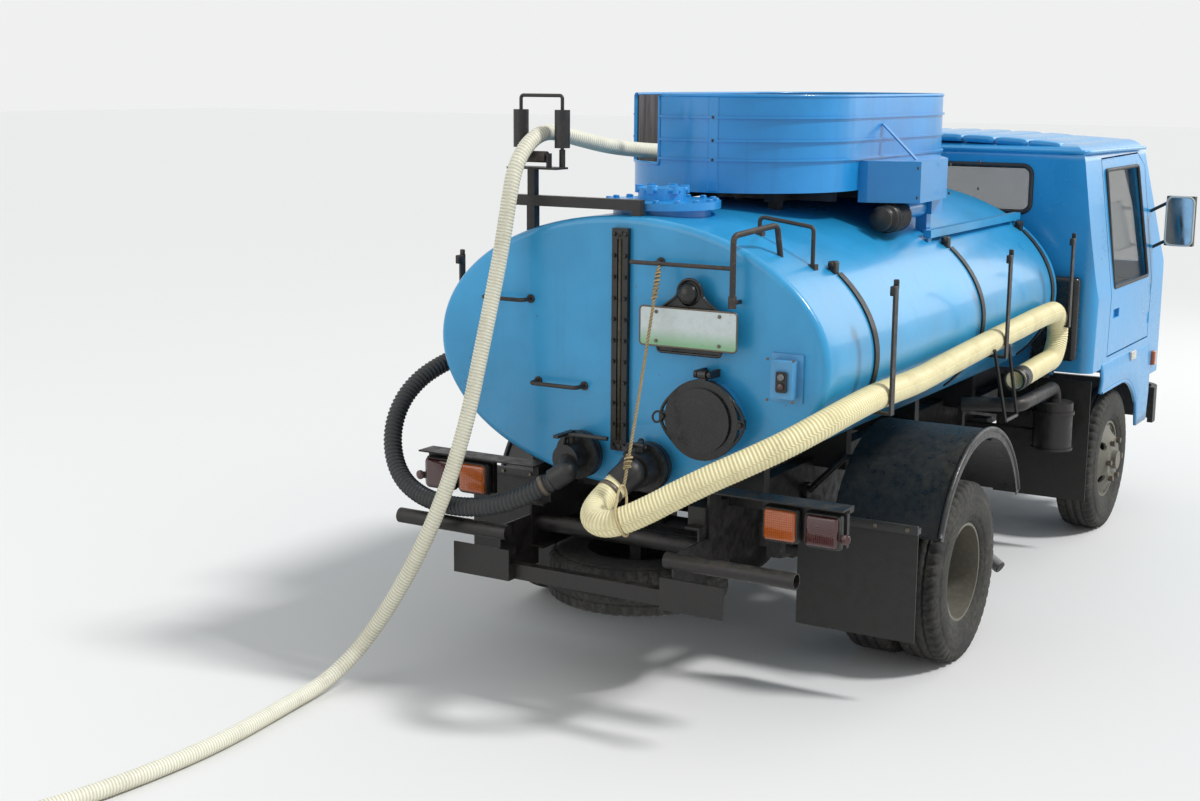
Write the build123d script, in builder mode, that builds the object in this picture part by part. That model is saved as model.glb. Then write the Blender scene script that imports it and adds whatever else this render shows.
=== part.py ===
import math
import os

from build123d import *

os.makedirs("parts", exist_ok=True)

# A light cab-over truck that carries an elliptical vacuum tank. Millimetres, +X forward, +Y left,
# +Z up. The origin is on the ground, at the middle of the truck's length and width.

# Chassis
WHEELBASE = 2500.0
FRONT_OVERHANG = 960.0
CAB_BACK_REACH = 628.0      # cab's back wall behind the front axle
TANK_LENGTH = 2860.0
TANK_CAB_GAP = 100.0
REAR_REACH = 290.0          # bumper tubes behind the tank's rear rim
BODY_LENGTH = TANK_LENGTH + TANK_CAB_GAP + CAB_BACK_REACH + FRONT_OVERHANG
HEAD_X = (REAR_REACH - BODY_LENGTH) / 2
REAR_X = HEAD_X - REAR_REACH
TANK_FRONT_X = HEAD_X + TANK_LENGTH
CAB_BACK_X = TANK_FRONT_X + TANK_CAB_GAP
FRONT_AXLE_X = CAB_BACK_X + CAB_BACK_REACH
REAR_AXLE_X = FRONT_AXLE_X - WHEELBASE
FRONT_X = FRONT_AXLE_X + FRONT_OVERHANG
RAIL_TOP = 730.0
RAIL_HEIGHT = 180.0
RAIL_OUTER = 375.0
RAIL_FLANGE = 60.0
RAIL_WEB = 8.0
RAIL_BACK_X = HEAD_X - 60.0
PIVOT_X = FRONT_X - 169.0
PIVOT_Z = 700.0
PIVOT_R = 20.0
RAIL_FRONT_X = PIVOT_X + 25.0
CROSS_TUBE_R = 34.0
RAIL_BOTTOM = RAIL_TOP - RAIL_HEIGHT

# Wheels
TYRE_R = 377.0
TYRE_WIDTH = 205.0
RIM_SEAT_R = 203.0
RIM_FLANGE_R = 224.0
RIM_HALF = 80.0
RIM_GAUGE = 9.0
DISC_OFFSET = 116.0         # wheel centre plane to mounting face
HUB_R = 75.0
TWIN_OUTER_Y = 927.0
FRONT_WHEEL_Y = 860.0
KINGPIN_Y = 748.0
AXLE_Z = TYRE_R
RUN_GAP = 0.3
HAND_HOLES = 5
HAND_HOLE_R = 22.0
HAND_HOLE_RING = 150.0

# Tank
TANK_HALF_WIDTH = 848.0
TANK_HALF_HEIGHT = 518.0
TANK_Z = 1348.0
HEAD_RIM = 8.0
HEAD_ROUND = 26.0
FRONT_ROUND = 90.0
TANK_TOP = TANK_Z + TANK_HALF_HEIGHT
TANK_BOTTOM = TANK_Z - TANK_HALF_HEIGHT

# Manhole
MANHOLE_X = HEAD_X + 300.0
MANHOLE_NECK_R = 190.0
MANHOLE_FLANGE_R = 228.0
MANHOLE_FLANGE_THICK = 14.0
MANHOLE_TOP = TANK_TOP + 44.0
CAP_R = 94.0
CAP_HEIGHT = 48.0

# Hose basin
BASIN_X = HEAD_X + 1520.0
BASIN_HALF = 470.0          # half of the straight sides
BASIN_R = 480.0
BASIN_WALL = 6.0
BASIN_RISE = 59.0           # floor over the tank's top
BASIN_HEIGHT = 385.0
BASIN_FLOOR_Z = TANK_TOP + BASIN_RISE
BASIN_RIM_Z = BASIN_FLOOR_Z + BASIN_HEIGHT
BASIN_RIBS = (130.0, 206.0, 297.0)
BASIN_RIB_R = 9.0
NOTCH_Z = BASIN_FLOOR_Z + 105.0
NOTCH_FROM = 116.0          # degrees round the rear end, counted from forward
NOTCH_TO = 158.0

# Rear hatch
HATCH_Y = -385.0
HATCH_Z = 1145.0
HATCH_R = 138.0
HATCH_COLLAR = 58.0
HATCH_LID_THICK = 26.0
HATCH_GAP = 1.0
HATCH_PIN_R = 9.0
HATCH_LUG_R = 14.0

# Cab
CAB_FRONT_X = FRONT_X - 48.0
CAB_WALL = 42.0
CAB_FLOOR_Z = 930.0
CAB_STEP_X = FRONT_AXLE_X + 540.0
CAB_SILL_Z = 748.0
CAB_BELT_Z = 1300.0
CAB_ROOF_Z = 2048.0
CAB_CROWN_Z = 2100.0
CAB_HALF_WIDTH = 997.0
CAB_ROOF_HALF = 905.0
CAB_BACK_ROUND = 70.0
CAB_FRONT_ROUND = 150.0
SCREEN_TOP_X = FRONT_AXLE_X + 560.0
DOOR_BACK_X = FRONT_AXLE_X - 328.0
DOOR_FRONT_X = FRONT_AXLE_X + 512.0
DOOR_SILL = 5.0             # door's opening over the floor
DOOR_TOP_Z = 1990.0
DOOR_GAP = 8.0
DOOR_BOTTOM_Z = CAB_FLOOR_Z + CAB_WALL + DOOR_SILL + DOOR_GAP
HINGE_X = DOOR_FRONT_X - 8.0
HINGE_Y = CAB_HALF_WIDTH - 5.0
HINGE_R = 7.0
HINGE_HEIGHTS = (1060.0, 1220.0)
HINGE_HEIGHT = 60.0
GLASS = 6.0
GLASS_INSET = 18.0
SCREEN_SLANT = 1.08         # how far the raked screen moves back for each unit of wall


def block(x, y, z, mode=Mode.ADD):
    """Add a box from its (low, high) limits along each axis."""
    with Locations(((x[0] + x[1]) / 2, (y[0] + y[1]) / 2, (z[0] + z[1]) / 2)):
        Box(x[1] - x[0], y[1] - y[0], z[1] - z[0], mode=mode)


def rod(start, end, radius, mode=Mode.ADD):
    """Add a round bar between two points."""
    run = Vector(*end) - Vector(*start)
    with BuildSketch(Plane(origin=start, z_dir=run)) as disc:
        Circle(radius)
    extrude(disc.sketch, amount=run.length, mode=mode)


def bent_bar(points, radius, bend, mode=Mode.ADD):
    """Add a round bar bent through the points."""
    with BuildLine() as path:
        FilletPolyline(*points, radius=bend)
    with BuildSketch(path.line ^ 0) as disc:
        Circle(radius)
    sweep(disc.sketch, path=path.line, mode=mode)


def strip(start, end, width, thick, side):
    """Add a flat bar between two points, with its width along the side vector."""
    run = Vector(*end) - Vector(*start)
    with BuildSketch(Plane(origin=start, x_dir=side, z_dir=run)) as section:
        Rectangle(width, thick)
    extrude(section.sketch, amount=run.length)


def save(part, name):
    """Write one finished piece."""
    part.label = name
    export_step(part, f"parts/{name}.step")


def tank_z(y, clearance=0.0):
    """Height of the tank's upper surface at a distance from its centreline."""
    half = TANK_HALF_WIDTH + clearance
    return TANK_Z + (TANK_HALF_HEIGHT + clearance) * math.sqrt(1 - (y / half) ** 2)


# Chassis frame: two channel rails, cross tubes, and the tube that the cab tilts on
with BuildPart() as frame:
    for side in (1, -1):
        outer = RAIL_OUTER * side
        inner = (RAIL_OUTER - RAIL_FLANGE) * side
        with BuildSketch(Plane.YZ.offset(RAIL_BACK_X)) as channel:
            with BuildLine():
                Polyline(
                    (inner, RAIL_TOP),
                    (outer, RAIL_TOP),
                    (outer, RAIL_BOTTOM),
                    (inner, RAIL_BOTTOM),
                    (inner, RAIL_BOTTOM + RAIL_WEB),
                    (outer - RAIL_WEB * side, RAIL_BOTTOM + RAIL_WEB),
                    (outer - RAIL_WEB * side, RAIL_TOP - RAIL_WEB),
                    (inner, RAIL_TOP - RAIL_WEB),
                    close=True,
                )
            make_face()
        extrude(amount=RAIL_FRONT_X - RAIL_BACK_X)
    for x in (RAIL_BACK_X + 60, REAR_AXLE_X - 520, REAR_AXLE_X + 620, FRONT_AXLE_X - 760, RAIL_FRONT_X - 140):
        middle = RAIL_BOTTOM + RAIL_HEIGHT / 2
        rod((x, RAIL_WEB - RAIL_OUTER, middle), (x, RAIL_OUTER - RAIL_WEB, middle), CROSS_TUBE_R)
    rod((PIVOT_X, -RAIL_OUTER - 30, PIVOT_Z), (PIVOT_X, RAIL_OUTER + 30, PIVOT_Z), PIVOT_R)
save(frame.part, "chassis_frame")


# Leaf springs of one axle: a pack of leaves, an axle saddle and a hanger at each end
SPRING_WIDTH = 70.0
SPRING_BOLT = SPRING_WIDTH / 2 + 9    # across to each U-bolt leg
SPRING_PLATE = SPRING_BOLT + 10
SPRING_LEAF = 11.0


def leaf_springs(axle_x, spring_y, half_span, leaves, seat_z):
    """Add the two leaf packs over an axle, hung from the rails."""
    for side in (1, -1):
        y = spring_y * side
        span = (y - SPRING_WIDTH / 2, y + SPRING_WIDTH / 2)
        rise = 40.0
        bend = (half_span**2 + rise**2) / (2 * rise)
        centre_z = seat_z + leaves * SPRING_LEAF + bend
        with BuildSketch(Plane.XZ.offset(-span[1])) as side_view:
            for leaf in range(leaves):
                upper = bend + leaf * SPRING_LEAF
                lower = upper + SPRING_LEAF
                angle = math.asin(half_span * (1 - 0.17 * leaf) / upper)
                with BuildLine():
                    ends = [
                        (radius * math.sin(angle), centre_z - radius * math.cos(angle))
                        for radius in (upper, lower)
                    ]
                    (x1, z1), (x2, z2) = ends
                    ThreePointArc(
                        (axle_x - x1, z1), (axle_x, centre_z - upper), (axle_x + x1, z1)
                    )
                    Line((axle_x + x1, z1), (axle_x + x2, z2))
                    ThreePointArc(
                        (axle_x + x2, z2), (axle_x, centre_z - lower), (axle_x - x2, z2)
                    )
                    Line((axle_x - x2, z2), (axle_x - x1, z1))
                make_face()
        extrude(side_view.sketch, amount=SPRING_WIDTH)
        eye_z = seat_z + leaves * SPRING_LEAF + rise
        for end in (-1, 1):
            x = axle_x + end * (half_span - 10)
            block((x - 22, x + 22), (y - 30, y + 30), (eye_z - SPRING_LEAF, RAIL_BOTTOM + 8))
            block(
                (x - 40, x + 40),
                tuple(sorted((RAIL_OUTER * side, y + 30 * side))),
                (RAIL_BOTTOM - 6, RAIL_BOTTOM + 90),
            )
        block((axle_x - 75, axle_x + 75), (y - SPRING_PLATE, y + SPRING_PLATE), (seat_z - 24, seat_z + 1))
        for end in (-1, 1):
            for edge in (-1, 1):
                x = axle_x + end * 58
                rod(
                    (x, y + edge * SPRING_BOLT, seat_z - 10),
                    (x, y + edge * SPRING_BOLT, seat_z + leaves * SPRING_LEAF + 26),
                    7,
                )
        block(
            (axle_x - 70, axle_x + 70),
            (y - SPRING_PLATE, y + SPRING_PLATE),
            (seat_z + leaves * SPRING_LEAF - 1, seat_z + leaves * SPRING_LEAF + 14),
        )


# Rear axle: banjo housing with its nose, tubes, springs and the propeller shaft
HOUSING_R = 48.0
REAR_SPRING_Y = 430.0
REAR_FLANGE_Y = 560.0
SHAFT_R = 38.0
REAR_SPINDLE_R = 38.0
REAR_SPINDLE_END = 26.0      # past the plane where the twin discs meet
GEARBOX_BACK_X = FRONT_AXLE_X - 640.0
DIFF_R = 150.0
with BuildPart() as rear_axle:
    rod((REAR_AXLE_X, -REAR_FLANGE_Y, AXLE_Z), (REAR_AXLE_X, REAR_FLANGE_Y, AXLE_Z), HOUSING_R)
    with Locations((REAR_AXLE_X, 0, AXLE_Z)):
        Sphere(DIFF_R)
    rod((REAR_AXLE_X, 0, AXLE_Z), (REAR_AXLE_X + 230, 0, AXLE_Z + 14), 62)
    for side in (1, -1):
        rod(
            (REAR_AXLE_X, side * (REAR_FLANGE_Y - 30), AXLE_Z),
            (REAR_AXLE_X, side * REAR_FLANGE_Y, AXLE_Z),
            150,
        )
        rod(
            (REAR_AXLE_X, side * REAR_FLANGE_Y, AXLE_Z),
            (REAR_AXLE_X, side * (TWIN_OUTER_Y - DISC_OFFSET + REAR_SPINDLE_END), AXLE_Z),
            REAR_SPINDLE_R,
        )
    leaf_springs(REAR_AXLE_X, REAR_SPRING_Y, 600, 4, AXLE_Z + HOUSING_R)
    rod((REAR_AXLE_X + 220, 0, AXLE_Z + 13), (GEARBOX_BACK_X - 4, 0, 560), SHAFT_R)
save(rear_axle.part, "rear_axle")

# Front axle: a dropped beam with an eye for each kingpin
BEAM_TOP = 330.0
BEAM_HEIGHT = 72.0
EYE_R = 34.0
EYE_HALF = 42.0
KINGPIN_R = 16.0
FRONT_SPRING_Y = 430.0
with BuildPart() as front_axle:
    with BuildSketch(Plane.YZ.offset(FRONT_AXLE_X - 28)) as beam:
        with BuildLine():
            Polyline(
                (-KINGPIN_Y, AXLE_Z + 34),
                (-KINGPIN_Y + 60, AXLE_Z + 30),
                (-KINGPIN_Y + 190, BEAM_TOP),
                (KINGPIN_Y - 190, BEAM_TOP),
                (KINGPIN_Y - 60, AXLE_Z + 30),
                (KINGPIN_Y, AXLE_Z + 34),
                (KINGPIN_Y, AXLE_Z - 34),
                (KINGPIN_Y - 80, AXLE_Z - 38),
                (KINGPIN_Y - 200, BEAM_TOP - BEAM_HEIGHT),
                (200 - KINGPIN_Y, BEAM_TOP - BEAM_HEIGHT),
                (80 - KINGPIN_Y, AXLE_Z - 38),
                (-KINGPIN_Y, AXLE_Z - 34),
                close=True,
            )
        make_face()
    extrude(amount=56)
    for side in (1, -1):
        y = side * KINGPIN_Y
        rod((FRONT_AXLE_X, y, AXLE_Z - EYE_HALF), (FRONT_AXLE_X, y, AXLE_Z + EYE_HALF), EYE_R)
        rod(
            (FRONT_AXLE_X, y, AXLE_Z - EYE_HALF - 1),
            (FRONT_AXLE_X, y, AXLE_Z + EYE_HALF + 1),
            KINGPIN_R + RUN_GAP,
            mode=Mode.SUBTRACT,
        )
        block(
            (FRONT_AXLE_X - 34, FRONT_AXLE_X + 34),
            (side * FRONT_SPRING_Y - 40, side * FRONT_SPRING_Y + 40),
            (BEAM_TOP - 10, BEAM_TOP + 50),
        )
    leaf_springs(FRONT_AXLE_X, FRONT_SPRING_Y, 560, 3, BEAM_TOP + 62)
save(front_axle.part, "front_axle")

# Steering knuckles: a fork round the axle eye, its kingpin and the wheel spindle
SPINDLE_R = 26.0
EAR_THICK = 26.0
EAR_R = 36.0
FRONT_DISC_Y = FRONT_WHEEL_Y + DISC_OFFSET
for name, side in (("left", 1), ("right", -1)):
    with BuildPart() as knuckle:
        y = side * KINGPIN_Y
        for lift in (-1, 1):
            inner = AXLE_Z + lift * (EYE_HALF + 5)
            rod((FRONT_AXLE_X, y, inner), (FRONT_AXLE_X, y, inner + lift * EAR_THICK), EAR_R)
            z = tuple(sorted((inner, inner + lift * EAR_THICK)))
            block(
                (FRONT_AXLE_X - EAR_R, FRONT_AXLE_X + EAR_R),
                tuple(sorted((y, y + side * 66))),
                z,
            )
        rod(
            (FRONT_AXLE_X, y, AXLE_Z - EYE_HALF - 20),
            (FRONT_AXLE_X, y, AXLE_Z + EYE_HALF + 20),
            KINGPIN_R,
        )
        block(
            (FRONT_AXLE_X - EAR_R, FRONT_AXLE_X + EAR_R),
            tuple(sorted((y + side * 44, y + side * 66))),
            (AXLE_Z - EYE_HALF - EAR_THICK - 4, AXLE_Z + EYE_HALF + EAR_THICK + 4),
        )
        rod(
            (FRONT_AXLE_X, y + side * 60, AXLE_Z),
            (FRONT_AXLE_X, side * (FRONT_DISC_Y - 34), AXLE_Z),
            SPINDLE_R,
        )
    save(knuckle.part, f"knuckle_{name}")


# Wheels
def wheel_plane(x, y, side):
    """Plane through a wheel's axis: first axis outward along the axle, second axis up."""
    return Plane(origin=(x, y, AXLE_Z), x_dir=(0, side, 0), z_dir=(side, 0, 0))


def tyre(x, y, side):
    """Add one tyre: bead, bulged side wall, shoulder and a flat tread."""
    half = TYRE_WIDTH / 2
    with BuildSketch(wheel_plane(x, y, side)) as section:
        with BuildLine():
            bead = RIM_HALF - RIM_GAUGE - RUN_GAP
            tread = half - 22
            seat = RIM_SEAT_R + RUN_GAP
            toe = RIM_FLANGE_R + 4
            Line((-bead, seat), (bead, seat))
            Line((bead, seat), (bead, toe))
            ThreePointArc((bead, toe), (half, 296), (half - 6, TYRE_R - 24))
            ThreePointArc((half - 6, TYRE_R - 24), (half - 11, TYRE_R - 9), (tread, TYRE_R - 3))
            ThreePointArc((tread, TYRE_R - 3), (0, TYRE_R), (-tread, TYRE_R - 3))
            ThreePointArc((-tread, TYRE_R - 3), (11 - half, TYRE_R - 9), (6 - half, TYRE_R - 24))
            ThreePointArc((6 - half, TYRE_R - 24), (-half, 296), (-bead, toe))
            Line((-bead, toe), (-bead, seat))
        make_face()
    revolve(section.sketch, axis=Axis((x, y, AXLE_Z), (0, 1, 0)))


def rim(x, y, side, dish):
    """Add one rim. The dish is +1 where the disc lies outboard of the tyre, -1 where inboard."""
    g = RIM_GAUGE
    face = dish * DISC_OFFSET
    edge = dish * (RIM_HALF - 12)
    with BuildSketch(wheel_plane(x, y, side)) as section:
        with BuildLine():
            Polyline(
                (-RIM_HALF, RIM_FLANGE_R),
                (-RIM_HALF + g, RIM_FLANGE_R),
                (-RIM_HALF + g, RIM_SEAT_R),
                (RIM_HALF - g, RIM_SEAT_R),
                (RIM_HALF - g, RIM_FLANGE_R),
                (RIM_HALF, RIM_FLANGE_R),
                (RIM_HALF, RIM_SEAT_R - g),
                (-RIM_HALF, RIM_SEAT_R - g),
                close=True,
            )
        make_face()
        with BuildLine():
            Polyline(
                (edge, RIM_SEAT_R - g + 1),
                (edge, RIM_SEAT_R - 2 * g),
                (face, HAND_HOLE_RING - 38),
                (face, HUB_R - 20),
                (face - dish * g, HUB_R - 20),
                (face - dish * g, HAND_HOLE_RING - 42),
                (edge - dish * 2 * g, RIM_SEAT_R - 2 * g - 4),
                (edge - dish * 2 * g, RIM_SEAT_R - g + 1),
                close=True,
            )
        make_face()
    revolve(section.sketch, axis=Axis((x, y, AXLE_Z), (0, 1, 0)))
    spot = Plane(origin=(x, y, AXLE_Z), x_dir=(1, 0, 0), z_dir=(0, 1, 0))
    with BuildSketch(spot) as holes:
        with PolarLocations(HAND_HOLE_RING, HAND_HOLES):
            Circle(HAND_HOLE_R)
    extrude(holes.sketch, amount=RIM_SEAT_R, both=True, mode=Mode.SUBTRACT)


# Front wheels: the disc stands outboard and the hub runs on the spindle
for name, side in (("left", 1), ("right", -1)):
    with BuildPart() as front_tyre:
        tyre(FRONT_AXLE_X, side * FRONT_WHEEL_Y, side)
    save(front_tyre.part, f"front_tyre_{name}")

    with BuildPart() as front_rim:
        rim(FRONT_AXLE_X, side * FRONT_WHEEL_Y, side, 1)
        hub_in = side * (KINGPIN_Y + 72)
        rod(
            (FRONT_AXLE_X, hub_in, AXLE_Z),
            (FRONT_AXLE_X, side * FRONT_DISC_Y, AXLE_Z),
            HUB_R,
        )
        rod(
            (FRONT_AXLE_X, side * FRONT_DISC_Y, AXLE_Z),
            (FRONT_AXLE_X, side * (FRONT_DISC_Y + 26), AXLE_Z),
            HUB_R - 26,
        )
        rod(
            (FRONT_AXLE_X, hub_in - side, AXLE_Z),
            (FRONT_AXLE_X, side * (FRONT_DISC_Y - 28), AXLE_Z),
            SPINDLE_R + RUN_GAP,
            mode=Mode.SUBTRACT,
        )
    save(front_rim.part, f"front_rim_{name}")

# Rear twin wheels: the two discs meet at one hub
TWIN_SPACING = 2 * DISC_OFFSET
for name, side in (("left", 1), ("right", -1)):
    outer_y = side * TWIN_OUTER_Y
    inner_y = side * (TWIN_OUTER_Y - TWIN_SPACING)
    meet_y = side * (TWIN_OUTER_Y - DISC_OFFSET)
    with BuildPart() as rear_tyres:
        tyre(REAR_AXLE_X, outer_y, side)
        tyre(REAR_AXLE_X, inner_y, side)
    save(rear_tyres.part, f"rear_tyres_{name}")

    with BuildPart() as rear_rims:
        rim(REAR_AXLE_X, outer_y, side, -1)
        rim(REAR_AXLE_X, inner_y, side, 1)
        rod(
            (REAR_AXLE_X, side * (REAR_FLANGE_Y + 6), AXLE_Z),
            (REAR_AXLE_X, meet_y, AXLE_Z),
            HUB_R,
        )
        rod((REAR_AXLE_X, meet_y, AXLE_Z), (REAR_AXLE_X, meet_y + side * 60, AXLE_Z), HUB_R)
        rod(
            (REAR_AXLE_X, side * REAR_FLANGE_Y, AXLE_Z),
            (REAR_AXLE_X, meet_y + side * (REAR_SPINDLE_END + 6), AXLE_Z),
            REAR_SPINDLE_R + RUN_GAP,
            mode=Mode.SUBTRACT,
        )
    save(rear_rims.part, f"rear_rims_{name}")


# Tank
def tank_section(x, clearance=0.0):
    """Sketch of the tank's oval cross-section at a station."""
    plane = Plane(origin=(x, 0, TANK_Z), x_dir=(0, 1, 0), z_dir=(1, 0, 0))
    with BuildSketch(plane) as oval:
        Ellipse(TANK_HALF_WIDTH + clearance, TANK_HALF_HEIGHT + clearance)
    return oval.sketch


# Tank shell with the set-in rear head and the short neck of the clean-out hatch
with BuildPart() as tank:
    extrude(tank_section(HEAD_X), amount=TANK_LENGTH)
    fillet(tank.edges().filter_by(GeomType.ELLIPSE).sort_by(Axis.X)[-1], FRONT_ROUND)
    fillet(tank.edges().filter_by(GeomType.ELLIPSE).sort_by(Axis.X)[0], HEAD_ROUND)
    rod((HEAD_X - HATCH_COLLAR, HATCH_Y, HATCH_Z), (HEAD_X + 40, HATCH_Y, HATCH_Z), HATCH_R)
save(tank.part, "tank_shell")

# Saddles: two long bearers on the rails and cross cradles cut to the tank
BEARER_WIDTH = 70.0
BEARER_TOP = 800.0
SADDLE_END = 180.0
SADDLE_COUNT = 4
SADDLE_STEP = (TANK_LENGTH - 300.0 - SADDLE_END) / (SADDLE_COUNT - 1)
SADDLE_THICK = 50.0
SADDLE_HALF = 520.0
SADDLE_TOP = 985.0
with BuildPart() as saddles:
    for side in (1, -1):
        y = tuple(sorted((side * (RAIL_OUTER - BEARER_WIDTH), side * RAIL_OUTER)))
        block((RAIL_BACK_X + 40, TANK_FRONT_X - 60), y, (RAIL_TOP, BEARER_TOP))
    for count in range(SADDLE_COUNT):
        x = HEAD_X + SADDLE_END + count * SADDLE_STEP
        block((x, x + SADDLE_THICK), (-SADDLE_HALF, SADDLE_HALF), (BEARER_TOP - 30, SADDLE_TOP))
    extrude(tank_section(HEAD_X - 100), amount=TANK_LENGTH + 200, mode=Mode.SUBTRACT)
save(saddles.part, "tank_saddles")

# Manhole: neck, bolted flange and the small screw cap with its lugs
CAP_LUGS = 6
FLANGE_BOLTS = 16
BOLT_R = 9.0
with BuildPart() as manhole:
    with BuildSketch(Plane.XY.offset(TANK_Z + TANK_HALF_HEIGHT * 0.9)) as neck:
        with Locations((MANHOLE_X, 0)):
            Circle(MANHOLE_NECK_R)
    extrude(amount=MANHOLE_TOP - MANHOLE_FLANGE_THICK * 2 - TANK_Z - TANK_HALF_HEIGHT * 0.9)
    extrude(tank_section(HEAD_X - 100), amount=TANK_LENGTH, mode=Mode.SUBTRACT)
    with BuildSketch(Plane.XY.offset(MANHOLE_TOP - MANHOLE_FLANGE_THICK * 2)) as flange:
        with Locations((MANHOLE_X, 0)):
            Circle(MANHOLE_FLANGE_R)
    extrude(amount=MANHOLE_FLANGE_THICK * 2)
    with BuildSketch(Plane.XY.offset(MANHOLE_TOP)) as bolts:
        with Locations((MANHOLE_X, 0)):
            with PolarLocations(MANHOLE_FLANGE_R - 22, FLANGE_BOLTS):
                RegularPolygon(BOLT_R * 1.6, 6)
    extrude(amount=BOLT_R)
    with BuildSketch(Plane.XY.offset(MANHOLE_TOP)) as cap:
        with Locations((MANHOLE_X, 0)):
            Circle(CAP_R)
    extrude(amount=CAP_HEIGHT)
    with BuildSketch(Plane.XY.offset(MANHOLE_TOP + CAP_HEIGHT - 20)) as lugs:
        with Locations((MANHOLE_X, 0)):
            with PolarLocations(CAP_R - 6, CAP_LUGS):
                Circle(18)
    extrude(amount=30)
save(manhole.part, "manhole")


# Hose basin: an oval wall with rolled ribs, a floor and the notch that the hose comes over
def oval(z, grow=0.0):
    """Sketch of the basin's outline at a height, grown outward."""
    with BuildSketch(Plane.XY.offset(z)) as outline:
        with Locations((BASIN_X, 0)):
            SlotCenterToCenter(2 * BASIN_HALF, 2 * (BASIN_R + grow))
    return outline.sketch


BASIN_SKIRT_X = BASIN_X + 40.0
with BuildPart() as basin:
    extrude(oval(BASIN_FLOOR_Z - 150), amount=BASIN_RIM_Z - BASIN_FLOOR_Z + 150)
    extrude(
        oval(BASIN_FLOOR_Z - 151, -BASIN_WALL),
        amount=151,
        mode=Mode.SUBTRACT,
    )
    extrude(
        oval(BASIN_FLOOR_Z + BASIN_WALL, -BASIN_WALL),
        amount=BASIN_RIM_Z,
        mode=Mode.SUBTRACT,
    )
    block(
        (HEAD_X, BASIN_SKIRT_X),
        (-BASIN_R - 20, BASIN_R + 20),
        (BASIN_FLOOR_Z - 160, BASIN_FLOOR_Z),
        mode=Mode.SUBTRACT,
    )
    extrude(tank_section(HEAD_X, 1.0), amount=TANK_LENGTH, mode=Mode.SUBTRACT)
    for rise in BASIN_RIBS:
        z = BASIN_FLOOR_Z + rise
        extrude(oval(z - BASIN_RIB_R / 2, BASIN_RIB_R), amount=BASIN_RIB_R)
        extrude(oval(z - BASIN_RIB_R, -BASIN_WALL), amount=BASIN_RIB_R * 2, mode=Mode.SUBTRACT)
    with BuildSketch(Plane.XY.offset(NOTCH_Z)) as notch:
        end_x = BASIN_X - BASIN_HALF
        reach = BASIN_R * 1.4
        with BuildLine():
            first = math.radians(NOTCH_FROM)
            last = math.radians(NOTCH_TO)
            Polyline(
                (end_x, 0),
                (end_x + reach * math.cos(first), reach * math.sin(first)),
                (end_x + reach * math.cos(last), reach * math.sin(last)),
                close=True,
            )
        make_face()
    extrude(amount=BASIN_RIM_Z - NOTCH_Z + 1, mode=Mode.SUBTRACT)
save(basin.part, "hose_basin")

# Basin supports: two long bars on posts over the tank, with cross bars under the floor
SUPPORT_Y = 210.0
SUPPORT_BAR = 44.0
with BuildPart() as supports:
    top = BASIN_FLOOR_Z
    for side in (1, -1):
        y = side * SUPPORT_Y
        block(
            (BASIN_X - 700, BASIN_SKIRT_X - 30),
            (y - SUPPORT_BAR / 2, y + SUPPORT_BAR / 2),
            (top - SUPPORT_BAR, top),
        )
        for x in (BASIN_X - 640, BASIN_X - 100):
            block((x - 22, x + 22), (y - 22, y + 22), (TANK_TOP - 60, top - 1))
    for x in (BASIN_X - 520, BASIN_X - 240):
        block((x - 20, x + 20), (-BASIN_R + 60, BASIN_R - 60), (top - SUPPORT_BAR, top))
    extrude(tank_section(HEAD_X), amount=TANK_LENGTH, mode=Mode.SUBTRACT)
save(supports.part, "basin_supports")

# Drive box on the basin's right side, with its stay, motor and bracket
DRIVE_TOP = BASIN_FLOOR_Z + 120.0
DRIVE_BOTTOM = BASIN_FLOOR_Z - 50.0
DRIVE_OUT_Y = -720.0
with BuildPart() as drive:
    with BuildSketch(Plane.XY.offset(DRIVE_BOTTOM)) as plan:
        with BuildLine():
            Polyline(
                (BASIN_X - 420, -BASIN_R + 120),
                (BASIN_X - 420, -BASIN_R - 40),
                (BASIN_X - 340, DRIVE_OUT_Y),
                (BASIN_X + 60, DRIVE_OUT_Y + 30),
                (BASIN_X + 420, -BASIN_R - 20),
                (BASIN_X + 420, -BASIN_R + 120),
                close=True,
            )
        make_face()
    extrude(amount=DRIVE_TOP - DRIVE_BOTTOM)
    extrude(oval(DRIVE_BOTTOM - 20), amount=DRIVE_TOP, mode=Mode.SUBTRACT)
    strip(
        (BASIN_X - 180, -BASIN_R - 4, DRIVE_TOP + 145),
        (BASIN_X - 180, -640, DRIVE_TOP - 2),
        26,
        6,
        (1, 0, 0),
    )
    block((BASIN_X + 20, BASIN_X + 150), (-640, -520), (DRIVE_BOTTOM - 70, DRIVE_BOTTOM + 5))
    rod((BASIN_X + 10, -580, DRIVE_BOTTOM - 40), (BASIN_X - 190, -580, DRIVE_BOTTOM - 40), 42)
    block((BASIN_X + 60, BASIN_X + 110), (-605, -555), (tank_z(605), DRIVE_BOTTOM - 60))
    extrude(tank_section(HEAD_X), amount=TANK_LENGTH, mode=Mode.SUBTRACT)
save(drive.part, "drive_box")

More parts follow.
